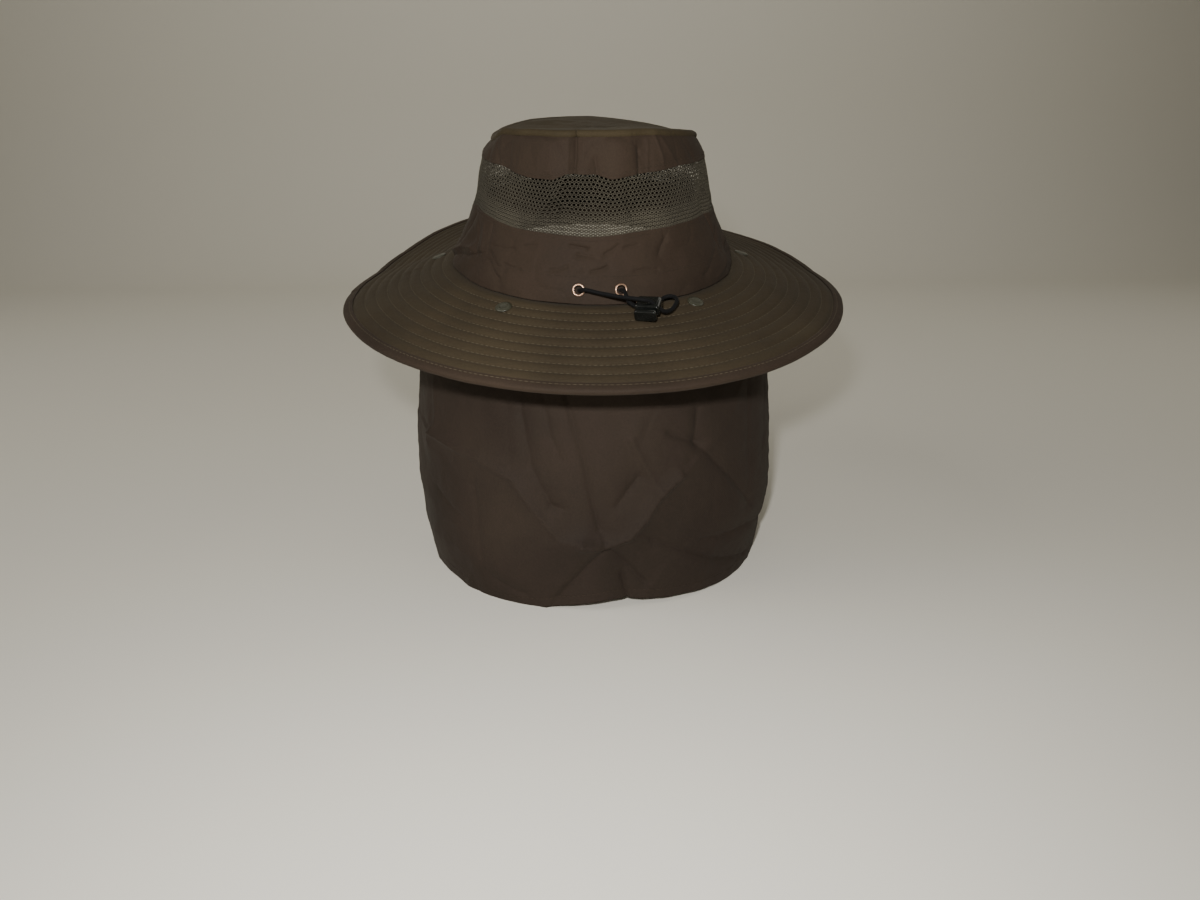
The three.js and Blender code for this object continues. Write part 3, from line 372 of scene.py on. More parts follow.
def oval(around, reach=1.0):
    across, along = np.cos(np.radians(around)), np.sin(np.radians(around))
    point = np.stack([HEAD_HALF_WIDTH * reach * across, HEAD_HALF_LENGTH * reach * along, 0 * across], -1)
    out = np.stack([across / HEAD_HALF_WIDTH, along / HEAD_HALF_LENGTH, 0 * across], -1)
    return point, out / np.linalg.norm(out, axis=-1, keepdims=True)


ARC_PER_DEGREE = math.radians(1) * HEAD_HALF_WIDTH


def crown_forms(around, height):
    up = height / CROWN_HEIGHT
    push = np.zeros(np.broadcast(around, height).shape)
    for centre, middle, wide, tall, depth, lean in CROWN_FORMS:
        rise = (up - middle) / tall
        turn = wrap(around - centre - lean * (up - middle)) / wide
        push = push + depth * np.exp(-turn * turn - rise * rise)
    return push * HEAD_HALF_WIDTH


def rim_sag(around):
    return np.interp(wrap(around), SAG_AROUND, SAG_SHARE) * CROWN_HEIGHT


def crown_detail(around, height):
    arc = (wrap(around + 50) - 50) * ARC_PER_DEGREE
    push = crease_push(arc, height, CROWN_CREASES, ARC_PER_DEGREE, 1.0)
    push = push + 0.3 * layered_noise(arc / 13 + 90, height / 11 + 20, 3)
    return push - 0.3 * wrinkles(arc / 21 + 50, height / 17, 45)


def crown_point(around, height, depth=0.0, detail=True):
    around, height = np.broadcast_arrays(np.asarray(around, float), np.asarray(height, float))
    point, out = oval(around, np.interp(height / CROWN_HEIGHT, CROWN_HEIGHTS, CROWN_REACHES))
    push = crown_forms(around, height)
    if detail:
        push = push + crown_detail(around, height)
    point = point + out * (push - depth)[..., None]
    point[..., 2] = height - rim_sag(around) * smoothstep(height, MESH_TOP, RIM_HEIGHT)
    return point


def seam_height(around, height):
    """Height of a row of the crown, where the net's seams wave up and down."""
    top = np.interp(wrap(around), NET_TOP_AROUND, NET_TOP_RISE)
    foot = np.interp(wrap(around), NET_FOOT_AROUND, NET_FOOT_RISE)
    share = np.clip((height - MESH_BOTTOM) / (MESH_TOP - MESH_BOTTOM), 0, 1)
    fade = smoothstep(height, CHANNEL_HEIGHT, MESH_BOTTOM) * (1 - smoothstep(height, MESH_TOP, RIM_HEIGHT))
    return height + (foot + (top - foot) * share) * fade


def brim_point(around, offset, lift):
    around, offset, lift = np.broadcast_arrays(
        np.asarray(around, float), np.asarray(offset, float), np.asarray(lift, float))
    point, out = oval(around)
    slope = np.radians(np.interp(wrap(around), SLOPE_AROUND, SLOPE_DEGREES))
    run = np.maximum(offset, 0)
    outwards = np.where(run > 0, run * np.cos(slope) + lift * np.sin(slope), offset)
    point = point + out * outwards[..., None]
    point[..., 2] = np.where(run > 0, lift * np.cos(slope) - run * np.sin(slope), lift)
    return point


def flap_hem(around, share):
    return brim_point(around, FLAP_HEM_START + FLAP_HEM_WIDTH * share, FLAP_LIFT)


def flap_fall(around):
    return FLAP_DEPTH + np.interp(around, EDGE_AROUND, EDGE_LONGER) - flap_hem(around, 1.0) @ PLUMB


HEM_ARC_PER_DEGREE = math.radians(1) * (HEAD_HALF_WIDTH + FLAP_HANG_OFFSET)


def corner_rise(around):
    from_front = (FLAP_HALF_SPAN - np.abs(around + 90)) * HEM_ARC_PER_DEGREE
    corner = 1 - np.clip(from_front / FLAP_CORNER, 0, 1)
    return FLAP_CORNER * (1 - np.sqrt(1 - corner * corner))


def flap_push(around, drop):
    side = np.cos(np.radians(around)) ** 2
    bell = FLAP_BACK_BELL + (1 - FLAP_BACK_BELL) * side
    push = bell * np.interp(drop, FALL_DROPS, FALL_BELLS) * FLAP_BELL
    arc = around * HEM_ARC_PER_DEGREE
    down = drop * USUAL_FALL
    push = push + crease_push(arc, down, FLAP_CREASES, HEM_ARC_PER_DEGREE, USUAL_FALL)
    push = push + 0.7 * layered_noise(arc / 34 + 9, down / 46 + 2, 21)
    push = push + 0.22 * layered_noise(arc / 9 + 9, down / 14 + 2, 31)
    lean = arc + 0.5 * down
    push = push + 0.5 * wrinkles(lean / 38 + 4, down / 52 + 3, 41)
    push = push - 0.35 * wrinkles(arc / 23 + 8, lean / 47 + 5, 43)
    return push * smoothstep(drop, 0, 0.15)


def flap_hang(around, bend, straight):
    down = FLAP_TURN_RADIUS * (1 - np.cos(bend)) + straight
    push = FLAP_TURN_RADIUS * np.sin(bend) + flap_push(around, down / flap_fall(around))
    _, out = oval(around)
    return flap_hem(around, 1.0) + out * push[..., None] + PLUMB * down[..., None]


def flap_point(around, row):
    """Middle of the cloth: row runs 0 to 1 over the hem, 1 to 2 round the turn, 2 to 3 down the fall."""
    around, row = np.broadcast_arrays(np.asarray(around, float), np.asarray(row, float))
    hem = flap_hem(around, np.clip(row, 0, 1))
    bend = np.clip(row - 1, 0, 1) * math.pi / 2
    straight = (flap_fall(around) - corner_rise(around) - FLAP_TURN_RADIUS) * np.clip(row - 2, 0, 1)
    return np.where((row <= 1)[..., None], hem, flap_hang(around, bend, straight))


def to_part(points):
    return np.asarray(points) @ HAT_TURN.T / 1000


# Mesh making
def mesh_object(name, points, faces, material, uv=None, smooth=True):
    """points are in mm in the hat's frame; uv has one row for each corner of each face."""
    mesh = bpy.data.meshes.new(name)
    mesh.from_pydata(to_part(points).tolist(), [], faces)
    if uv is not None:
        layer = mesh.uv_layers.new(name="cloth")
        layer.data.foreach_set("uv", np.asarray(uv, np.float32).ravel())
    mesh.materials.append(material)
    mesh.polygons.foreach_set("use_smooth", [smooth] * len(mesh.polygons))
    mesh.validate()
    obj = bpy.data.objects.new(name, mesh)
    bpy.context.scene.collection.objects.link(obj)
    return obj


def grid_faces(rows, columns, around_closed, along_closed=False):
    """Faces of a grid of points, indexed row by row, and the grid place of each corner."""
    last_row = rows if along_closed else rows - 1
    last_column = columns if around_closed else columns - 1
    r, c = np.meshgrid(np.arange(last_row), np.arange(last_column), indexing="ij")
    corners = ((r, c), (r, c + 1), (r + 1, c + 1), (r + 1, c))
    faces = np.stack([(i % rows) * columns + j % columns for i, j in corners], -1).reshape(-1, 4)
    places = np.stack([np.stack([i, j], -1) for i, j in corners], -2).reshape(-1, 2)
    return faces, places


def grid_object(name, points, material, around_closed=True, along_closed=False, *, u, v):
    """u and v give the cloth's own lengths in mm along the columns and the rows."""
    rows, columns = points.shape[:2]
    faces, places = grid_faces(rows, columns, around_closed, along_closed)
    u_all = np.append(u, 2 * u[-1] - u[-2])
    v_all = np.append(v, 2 * v[-1] - v[-2])
    uv = np.stack([u_all[places[:, 1]], v_all[places[:, 0]]], -1) / 100
    return mesh_object(name, points.reshape(-1, 3), faces.tolist(), material, uv)


def thicken(obj, wall, offset=-1.0):
    solidify = obj.modifiers.new("wall", "SOLIDIFY")
    solidify.thickness = wall / 1000
    solidify.offset = offset
    solidify.use_even_offset = False


def lathe_points(outline, sides):
    """Points of a closed outline of (radius, up) turned round local Z."""
    turns = np.arange(sides) * 2 * math.pi / sides
    outline = np.asarray(outline, float)
    radius, up = outline[:, :1], outline[:, 1:]
    return np.stack([radius * np.cos(turns), radius * np.sin(turns), up + 0 * turns], -1)


def lathe_object(name, outline, sides, place, material, closed):
    """closed joins the outline's last point to its first; otherwise its ends are on the axis."""
    points = lathe_points(outline, sides)
    points = points @ place[:3, :3].T + place[:3, 3]
    turns = np.arange(sides) * 360 / sides
    return grid_object(name, points, material, True, closed, u=turns, v=np.arange(len(outline)) * 1.0)


def rounded(outline):
    """Cuts the corners of an open outline twice, keeping its ends."""
    outline = np.asarray(outline, float)
    for _ in range(2):
        cut = [outline[0]]
        for a, b in zip(outline, outline[1:]):
            cut += [0.75 * a + 0.25 * b, 0.25 * a + 0.75 * b]
        outline = np.array([*cut, outline[-1]])
    return outline


# Nodes for the materials
class Shader:
    """A Principled material with short calls for its procedural nodes."""

    def __init__(self, name):
        self.material = bpy.data.materials.new(name)
        self.material.use_nodes = True
        self.tree = self.material.node_tree
        self.surface = self.tree.nodes["Principled BSDF"]

    def put(self, kind, **settings):
        node = self.tree.nodes.new(kind)
        for key, value in settings.items():
            setattr(node, key, value)
        return node

    def join(self, source, socket):
        self.tree.links.new(source, socket)

    def feed(self, socket, value):
        """Sets a socket to a number or colour, or joins a node to it."""
        if isinstance(value, (int, float, tuple)):
            socket.default_value = value
        else:
            self.join(value, socket)

    def give(self, **values):
        """Feeds the surface's sockets, with _ for the blanks in their names."""
        for name, value in values.items():
            self.feed(self.surface.inputs[name.replace("_", " ")], value)

    def math(self, operation, a, b=None):
        node = self.put("ShaderNodeMath", operation=operation)
        for socket, value in zip(node.inputs, (a, b)):
            if value is not None:
                self.feed(socket, value)
        return node.outputs[0]

    def noise(self, coords, scale, detail, roughness=0.55):
        node = self.put("ShaderNodeTexNoise")
        self.join(coords, node.inputs["Vector"])
        node.inputs["Scale"].default_value = scale
        node.inputs["Detail"].default_value = detail
        node.inputs["Roughness"].default_value = roughness
        return node.outputs["Fac"]

    def spread(self, value, low, high, to_low=0.0, to_high=1.0):
        node = self.put("ShaderNodeMapRange")
        self.join(value, node.inputs["Value"])
        for key, number in (("From Min", low), ("From Max", high), ("To Min", to_low), ("To Max", to_high)):
            node.inputs[key].default_value = number
        return node.outputs["Result"]

    def mix(self, factor, a, b):
        node = self.put("ShaderNodeMix", data_type="RGBA")
        self.join(factor, node.inputs["Factor"])
        for key, colour in (("A", a), ("B", b)):
            node.inputs[key].default_value = (*colour, 1)
        return node.outputs["Result"]

    def bump(self, height, distance, strength, under=None):
        node = self.put("ShaderNodeBump")
        self.join(height, node.inputs["Height"])
        node.inputs["Distance"].default_value = distance
        node.inputs["Strength"].default_value = strength
        if under is not None:
            self.join(under, node.inputs["Normal"])
        return node.outputs["Normal"]


def linear(red, green, blue):
    """A colour as seen on screen, 0 to 255, turned into light."""
    return tuple(
        value / 255 / 12.92 if value <= 10 else ((value / 255 + 0.055) / 1.055) ** 2.4
        for value in (red, green, blue)
    )


def weave(shader, thread):
    """Height of a plain weave with threads this many mm apart, from the cloth's own lengths."""
    split = shader.put("ShaderNodeSeparateXYZ")
    shader.join(shader.put("ShaderNodeTexCoord").outputs["UV"], split.inputs[0])
    turn = math.pi * 100 / thread
    waves = [shader.math("SINE", shader.math("MULTIPLY", split.outputs[k], turn)) for k in (0, 1)]
    return shader.math("MULTIPLY", *waves)


def cloth_material(name, dark, light, thread=0.55):
    sheen, roughness = 0.02, 0.8
    shader = Shader(name)
    coords = shader.put("ShaderNodeTexCoord").outputs["Object"]
    blotches = shader.noise(coords, 14, 4)
    fine = shader.noise(coords, 900, 2)
    shade = shader.math("ADD", shader.math("MULTIPLY", blotches, 0.75), shader.math("MULTIPLY", fine, 0.35))
    shader.give(Base_Color=shader.mix(shader.spread(shade, 0.3, 0.8), dark, light))
    shader.give(Roughness=shader.spread(blotches, 0.3, 0.7, roughness - 0.06, roughness + 0.06))
    crumple = shader.bump(shader.noise(coords, 120, 4, 0.6), 0.0005, 0.7)
    shader.give(Normal=shader.bump(weave(shader, thread), 0.00006, 0.6, crumple),
                Sheen_Weight=sheen, Sheen_Roughness=0.45, Sheen_Tint=(1.0, 0.93, 0.8, 1),
                Specular_IOR_Level=0.16)
    return shader.material


def plain_material(name, colour, roughness, metallic=0.0, wear=0.12, coat=0.0, transmission=0.0):
    shader = Shader(name)
    coords = shader.put("ShaderNodeTexCoord").outputs["Object"]
    patches = shader.noise(coords, 260, 3)
    brighter = tuple(min(1.0, c * (1 + wear) + wear * 0.02) for c in colour)
    shader.give(Base_Color=shader.mix(shader.spread(patches, 0.35, 0.7), colour, brighter))
    shader.give(Roughness=shader.spread(patches, 0.3, 0.7, roughness * 0.8, roughness * 1.25))
    shader.give(Normal=shader.bump(shader.noise(coords, 400, 3), 0.00003, 0.4),
                Metallic=metallic, Coat_Weight=coat, Transmission_Weight=transmission)
    return shader.material


BROWN_DARK = linear(42, 34, 27)
BROWN_LIGHT = linear(59, 48, 39)
OLIVE_DARK = linear(48, 41, 28)
OLIVE_LIGHT = linear(67, 58, 41)

crown_cloth = cloth_material("crown cloth", BROWN_DARK, BROWN_LIGHT)
top_cloth = cloth_material("top cloth", OLIVE_DARK, OLIVE_LIGHT)
# The brim's cloth is its brown painted lighter than the crown's: painted light falling on it from above.
brim_cloth_with_painted_light = cloth_material("brim cloth with painted light", linear(45, 38, 28), linear(65, 56, 41))
tape_cloth = cloth_material("binding tape", BROWN_DARK, BROWN_LIGHT, thread=0.7)
# The flap's cloth is the crown's brown painted a little darker: painted shade.
flap_cloth_with_painted_shade = cloth_material("flap cloth with painted shade", linear(38, 31, 26), linear(54, 45, 38))
net_yarn = cloth_material("net yarn", linear(44, 41, 36), linear(84, 80, 68), thread=0.3)
# The net's inner face is painted dark: painted shade of the hat's inside, seen through the holes.
net_inside_painted_shade = cloth_material("net inside painted shade", linear(17, 16, 14), linear(26, 24, 21), thread=0.3)
brim_thread = cloth_material("brim thread", linear(66, 60, 47), linear(92, 84, 68), thread=0.2)
crown_thread = cloth_material("crown thread", linear(46, 38, 31), linear(64, 55, 45), thread=0.2)
cord_yarn = cloth_material("cord yarn", linear(7, 7, 8), linear(17, 17, 18), thread=0.5)
lock_plastic = plain_material("lock plastic", linear(14, 16, 15), 0.16, coat=0.6)
snap_plastic = plain_material("snap plastic", linear(54, 54, 42), 0.38, coat=0.15, transmission=0.15)
# The eyelet's throat is brass like its ring; its dark colour here is painted shade in the hollow.
throat_painted_shade = plain_material("eyelet throat painted shade", linear(24, 20, 17), 0.6, metallic=0.3)
eyelet_brass = plain_material("eyelet brass", linear(214, 176, 150), 0.34, metallic=1.0, wear=0.2)

# Camera of the photograph, as solved from the hat's curves: places in metres, angles in degrees
CAMERA_LENS = 24.96
CAMERA_SENSOR = 36
CAMERA_PLACE = (0.0045, -0.5445, 0.0616)
CAMERA_DOWN = 19.46
CAMERA_YAW = math.radians(-3.5)
camera_data = bpy.data.cameras.new("camera")
camera_data.sensor_width = CAMERA_SENSOR
camera_data.lens = CAMERA_LENS
camera = bpy.data.objects.new("camera", camera_data)
bpy.context.scene.collection.objects.link(camera)
bpy.context.scene.camera = camera
camera.location = Matrix.Rotation(CAMERA_YAW, 3, "Z") @ Vector(CAMERA_PLACE)
camera.rotation_euler = (math.radians(90 - CAMERA_DOWN), 0, CAMERA_YAW)


def placed(origin, x, y, z):
    place = np.identity(4)
    place[:3, 0], place[:3, 1], place[:3, 2], place[:3, 3] = x, y, z, origin
    return place


def unit(vector):
    return vector / np.linalg.norm(vector)


def grommet_place(around):
    face = crown_point(around, GROMMET_HEIGHT, detail=False)
    above = crown_point(around, GROMMET_HEIGHT + 1, detail=False) - face
    beside = crown_point(around + 1, GROMMET_HEIGHT, detail=False) - face
    out = unit(np.cross(beside, above))
    level = unit(np.cross((0, 0, 1), out))
    return placed(face, level, np.cross(out, level), out)


def brim_place(around, offset, lift=0.0):
    centre = brim_point(around, offset, lift)
    out = unit(brim_point(around, offset + 1, lift) - centre)
    off = unit(brim_point(around, offset, lift + 1) - centre)
    return placed(centre, np.cross(out, off), out, off)


def at(place, point):
    return place[:3, :3] @ np.asarray(point, float) + place[:3, 3]


def at_all(place, points):
    return np.asarray(points, float) @ place[:3, :3].T + place[:3, 3]


def turned_place(axis, degrees):
    place = np.identity(4)
    place[:3, :3] = np.array(Matrix.Rotation(math.radians(degrees), 3, axis))
    return place


lock_place = (brim_place(LOCK_AROUND, LOCK_OFFSET, LOCK_LIFT) @ turned_place("Z", LOCK_TURN)
              @ turned_place("Y", LOCK_ROLL) @ turned_place("X", LOCK_PITCH))


def hole_point(hole, share):
    (x0, z0), (x1, z1) = hole
    across, up = x0 + (x1 - x0) * share, z0 + (z1 - z0) * share
    return np.array([across * LOCK_WIDTH / 2, 0, up * LOCK_THICKNESS / 2])


# Drawcord
def centripetal(points, steps):
    """Points spread over a centripetal Catmull-Rom curve through the given ones."""
    points = [2 * points[0] - points[1], *points, 2 * points[-1] - points[-2]]
    path = []
    for k in range(len(points) - 3):
        p = points[k:k + 4]
        knots = np.cumsum([0.0] + [np.linalg.norm(p[i + 1] - p[i]) ** 0.5 for i in range(3)])
        for t in knots[1] + (knots[2] - knots[1]) * np.arange(steps) / steps:
            a = [((knots[i + 1] - t) * p[i] + (t - knots[i]) * p[i + 1]) / (knots[i + 1] - knots[i])
                 for i in range(3)]
            b = [((knots[i + 2] - t) * a[i] + (t - knots[i]) * a[i + 1]) / (knots[i + 2] - knots[i])
                 for i in range(2)]
            path.append(((knots[2] - t) * b[0] + (t - knots[1]) * b[1]) / (knots[2] - knots[1]))
    return np.array([*path, points[-2]])


def tube_points(path, radius, sides, swell):
    """Rings of points round a path, with a frame that doesn't twist. swell(k, turns) gives each
    ring's radii as shares of the radius."""
    ahead = np.gradient(path, axis=0)
    ahead /= np.linalg.norm(ahead, axis=1, keepdims=True)
    across = unit(np.cross(ahead[0], (0.3, 0.2, 1)))
    rings = []
    turns = np.arange(sides) * 2 * math.pi / sides
    for k, (centre, way) in enumerate(zip(path, ahead)):
        across = unit(across - way * (across @ way))
        up = np.cross(way, across)
        size = radius * swell(k, turns)[:, None]
        rings.append(centre + size * (np.cos(turns)[:, None] * across + np.sin(turns)[:, None] * up))
    return np.array(rings)


def make_drawcord():
    left, right = (grommet_place(around) for _, around in GROMMETS)
    inside = (0, 0, -GROMMET_DEPTH)
    off = lambda place, points: [at(place, np.array(point) * CORD_DIAMETER) for point in points]
    in_hole = lambda hole, shares: [at(lock_place, hole_point(hole, share)) for share in shares]
    route = [
        at(left, inside), *off(left, CORD_START), *off(lock_place, CORD_LEAD),
        *in_hole(LOCK_HOLES[0], (-0.28, 0.5, 1)), *off(lock_place, CORD_LOOP),
        *in_hole(LOCK_HOLES[1], (0.5, 1)), *off(lock_place, CORD_TAIL), *off(right, CORD_END),
        at(right, inside),
    ]
    path = centripetal(route, 9)
    lengths = np.concatenate([[0], np.cumsum(np.linalg.norm(np.diff(path, axis=0), axis=1))])
    braid = lambda k, turns: 1 - 0.05 * np.abs(
        np.sin(3 * turns + 3.2 * lengths[k]) * np.sin(3 * turns - 3.2 * lengths[k]))
    sides = 18
    points = tube_points(path, CORD_DIAMETER / 2, sides, braid)
    cord = grid_object("drawcord_braid", points, cord_yarn, True, False,
                       u=np.arange(sides) * math.pi * CORD_DIAMETER / sides, v=lengths)
    close_ends(cord, len(path), sides)
    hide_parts("drawcord")
    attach(cord, "hat")
    return lengths[-1]


def close_ends(obj, rows, columns):
    """Adds a flat face over each end of an open tube made by grid_object."""
    work = bmesh.new()
    work.from_mesh(obj.data)
    work.verts.ensure_lookup_table()
    work.faces.new([work.verts[i] for i in range(columns)][::-1])
    work.faces.new([work.verts[(rows - 1) * columns + i] for i in range(columns)])
    bmesh.ops.recalc_face_normals(work, faces=work.faces)
    work.to_mesh(obj.data)
    work.free()


def dress(obj, slot_name, *nodes, body="hat"):
    """Rides a piece on its body and hides the nodes that it stands for; slot_name is not used."""
    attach(obj, body)
    if nodes:
        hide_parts(*nodes)
    return obj


# Cord lock
def rounded_section(width, inset):
    """Points of a rounded rectangle across the lock, drawn in by inset all round."""
    corner = LOCK_CORNER - inset
    across, up = width / 2 - LOCK_CORNER, LOCK_THICKNESS / 2 - LOCK_CORNER
    quarter = np.linspace(0, math.pi / 2, 8)
    arcs = []
    for k, (x, z) in enumerate(((1, 1), (-1, 1), (-1, -1), (1, -1))):
        angle = quarter + k * math.pi / 2
        arcs.append(np.stack([x * across + corner * np.cos(angle), z * up + corner * np.sin(angle)], -1))
    return np.concatenate(arcs)


def slug(name, width, start, end, edge):
    """Rounded body with rounded ends, along the lock's local Y."""
    angles = np.linspace(0, math.pi / 2, 7)
    rows = [(edge * (1 - math.sin(a)), start + edge * (1 - math.cos(a))) for a in angles]
    rows += [(edge * (1 - math.sin(a)), end - edge * (1 - math.cos(a))) for a in angles[::-1]]
    rings = []
    for inset, along in rows:
        section = rounded_section(width, inset)
        local = np.stack([section[:, 0], np.full(len(section), along), section[:, 1]], -1)
        rings.append(at_all(lock_place, local))
    points = np.array(rings)
    sides = points.shape[1]
    obj = grid_object(name, points, lock_plastic, True, False, u=np.arange(sides) * 1.0,
                      v=np.arange(len(rows)) * 1.0)
    close_ends(obj, len(rows), sides)
    return obj


def prism(bottom, top):
    """A closed cutter between two outlines of the same number of points in the lock's frame."""
    n = len(bottom)
    faces = [tuple(range(n))[::-1], tuple(range(n, 2 * n))]
    faces += [(k, (k + 1) % n, n + (k + 1) % n, n + k) for k in range(n)]
    return mesh_object("cutter", at_all(lock_place, np.concatenate([bottom, top])), faces, lock_plastic,
                       smooth=False)


def block(width, height, start, end):
    outline = np.array([(-1, -1), (1, -1), (1, 1), (-1, 1)]) * (width / 2, height / 2)
    ends = [np.stack([outline[:, 0], np.full(4, y), outline[:, 1]], -1) for y in (start, end)]
    return prism(*ends)


def hole_cutter(hole, length):
    """Cutter for a strand's hole, drawn out towards the button by a length."""
    way = unit(hole_point(hole, 1) - hole_point(hole, 0))
    along = np.array([0.0, 1.0, 0.0])
    side = np.cross(way, along)
    half = np.linspace(-math.pi / 2, math.pi / 2, 13)
    outline = [(length + LOCK_HOLE_RADIUS * math.cos(a), LOCK_HOLE_RADIUS * math.sin(a)) for a in half]
    outline += [(-LOCK_HOLE_RADIUS * math.cos(a), -LOCK_HOLE_RADIUS * math.sin(a)) for a in half[1:-1]]
    if length > 0:
        outline = outline[:13] + [(0, LOCK_HOLE_RADIUS)] + outline[13:] + [(0, -LOCK_HOLE_RADIUS)]
    ring = np.array([x * along + y * side for x, y in outline])
    return prism(ring + hole_point(hole, -1), ring + hole_point(hole, 2))


def combine(obj, other, operation):
    modifier = obj.modifiers.new("cut", "BOOLEAN")
    modifier.object = other
    modifier.operation = operation
    modifier.solver = "EXACT"
    evaluated = obj.evaluated_get(bpy.context.evaluated_depsgraph_get())
    mesh = bpy.data.meshes.new_from_object(evaluated)
    obj.modifiers.clear()
    obj.data = mesh
    bpy.data.objects.remove(other)


def crisp(obj, degrees=35):
    obj.data.polygons.foreach_set("use_smooth", [True] * len(obj.data.polygons))
    obj.data.set_sharp_from_angle(angle=math.radians(degrees))


lock_body = slug("cord_lock_shell", LOCK_WIDTH, LOCK_FAR_END, LOCK_MOUTH, LOCK_EDGE)
combine(lock_body, block(LOCK_BORE_WIDTH, LOCK_BORE_HEIGHT, LOCK_BORE_END, LOCK_MOUTH + 2), "DIFFERENCE")
for hole in LOCK_HOLES:
    combine(lock_body, hole_cutter(hole, 0), "DIFFERENCE")
crisp(lock_body)
dress(lock_body, "lock_plastic", "cord_lock_body")

button_start = LOCK_MOUTH + LOCK_TRAVEL + SOFT_GAP
button = slug("cord_lock_button", LOCK_BUTTON_WIDTH, button_start, button_start + LOCK_BUTTON_LENGTH,
              LOCK_BUTTON_EDGE)
stem = block(LOCK_STEM_WIDTH, LOCK_STEM_HEIGHT, LOCK_STEM_END, button_start + LOCK_BUTTON_LENGTH / 2)
combine(button, stem, "UNION")
for hole in LOCK_HOLES:
    combine(button, hole_cutter(hole, LOCK_TRAVEL), "DIFFERENCE")
crisp(button)
dress(button, "lock_plastic", "cord_lock_plunger", body="plunger")
cord_length = make_drawcord()


# Crown
def crown_columns():
    """Places round the crown, closer together at its back."""
    back, front = 360, 150
    return np.concatenate([-180 + np.arange(back) * 180 / back, np.arange(front) * 180 / front])


def crown_band(name, node, bottom, top, rows, wall, depth=0.0):
    arounds = crown_columns()
    heights = np.linspace(bottom, top, rows)
    points = crown_point(arounds[None, :], seam_height(arounds[None, :], heights[:, None]), depth)
    band = grid_object(name, points, crown_cloth, u=arounds * ARC_PER_DEGREE, v=heights)
    thicken(band, wall)
    return dress(band, "cloth", node)


def pierce(obj, places, radius):
    """Takes the faces within a radius of each place out of a sheet."""
    work = bmesh.new()
    work.from_mesh(obj.data)
    centres = [Vector(to_part(place[:3, 3])) for place in places]
    lost = [face for face in work.faces
            if min((face.calc_center_median() - centre).length for centre in centres) < radius / 1000]
    bmesh.ops.delete(work, geom=lost, context="FACES")
    work.to_mesh(obj.data)
    work.free()


def make_crown_top():
    rim = np.interp(RIM_HEIGHT / CROWN_HEIGHT, CROWN_HEIGHTS, CROWN_REACHES)
    arounds = crown_columns()
    edge = 1 - TOP_LIP / (HEAD_HALF_WIDTH * rim)
    turns = np.linspace(0.2, 2.3, 9)
    rings = 40
    shares = np.concatenate([np.linspace(0.004, edge, rings), np.full(len(turns), edge)])
    bends = np.concatenate([np.zeros(rings), turns])
    around, share = np.meshgrid(arounds, shares)
    bend = bends[:, None]
    point, out = oval(around, rim * share)
    folds = crown_forms(around, RIM_HEIGHT) + crown_detail(around, RIM_HEIGHT) * smoothstep(share, 0.8, 1)
    point = point + out * (share * folds + TOP_LIP * np.sin(bend))[..., None]
    x, y = point[..., 0], point[..., 1]
    height = CROWN_HEIGHT + (RIM_HEIGHT + PANEL_WALL - CROWN_HEIGHT) * share ** 4
    height = height + 0.7 * layered_noise(x / 26 + 12, y / 18 + 8, 5) * (1 - share ** 6)
    height = height - rim_sag(around) * share
    # the seam draws the panel in along the rim
    height = height - 0.5 * np.exp(-((share - 0.93) / 0.02) ** 2) - TOP_LIP * (1 - np.cos(bend))
    point[..., 2] = height
    top = grid_object("crown_top_panel", point, top_cloth, u=arounds * ARC_PER_DEGREE * 0.6,
                      v=shares * 60 + bends)
    thicken(top, PANEL_WALL)
    dress(top, "cloth", "crown_top")


make_crown_top()
crown_band("crown_upper_panel", "crown_upper_band", MESH_TOP - SEAM_OVERLAP, RIM_HEIGHT - 0.2, 30,
           PANEL_WALL)
lower = crown_band("crown_lower_panel", "crown_lower_band", BRIM_HALF + SOFT_GAP,
                   MESH_BOTTOM + SEAM_OVERLAP, 74, PANEL_WALL)
pierce(lower, [grommet_place(around) for _, around in GROMMETS], GROMMET_HOLE)
crown_band("crown_channel_lining", "crown_lower_band", BRIM_HALF + SOFT_GAP, CHANNEL_HEIGHT, 8,
           CHANNEL_LINING, CHANNEL_WALL - CHANNEL_LINING)


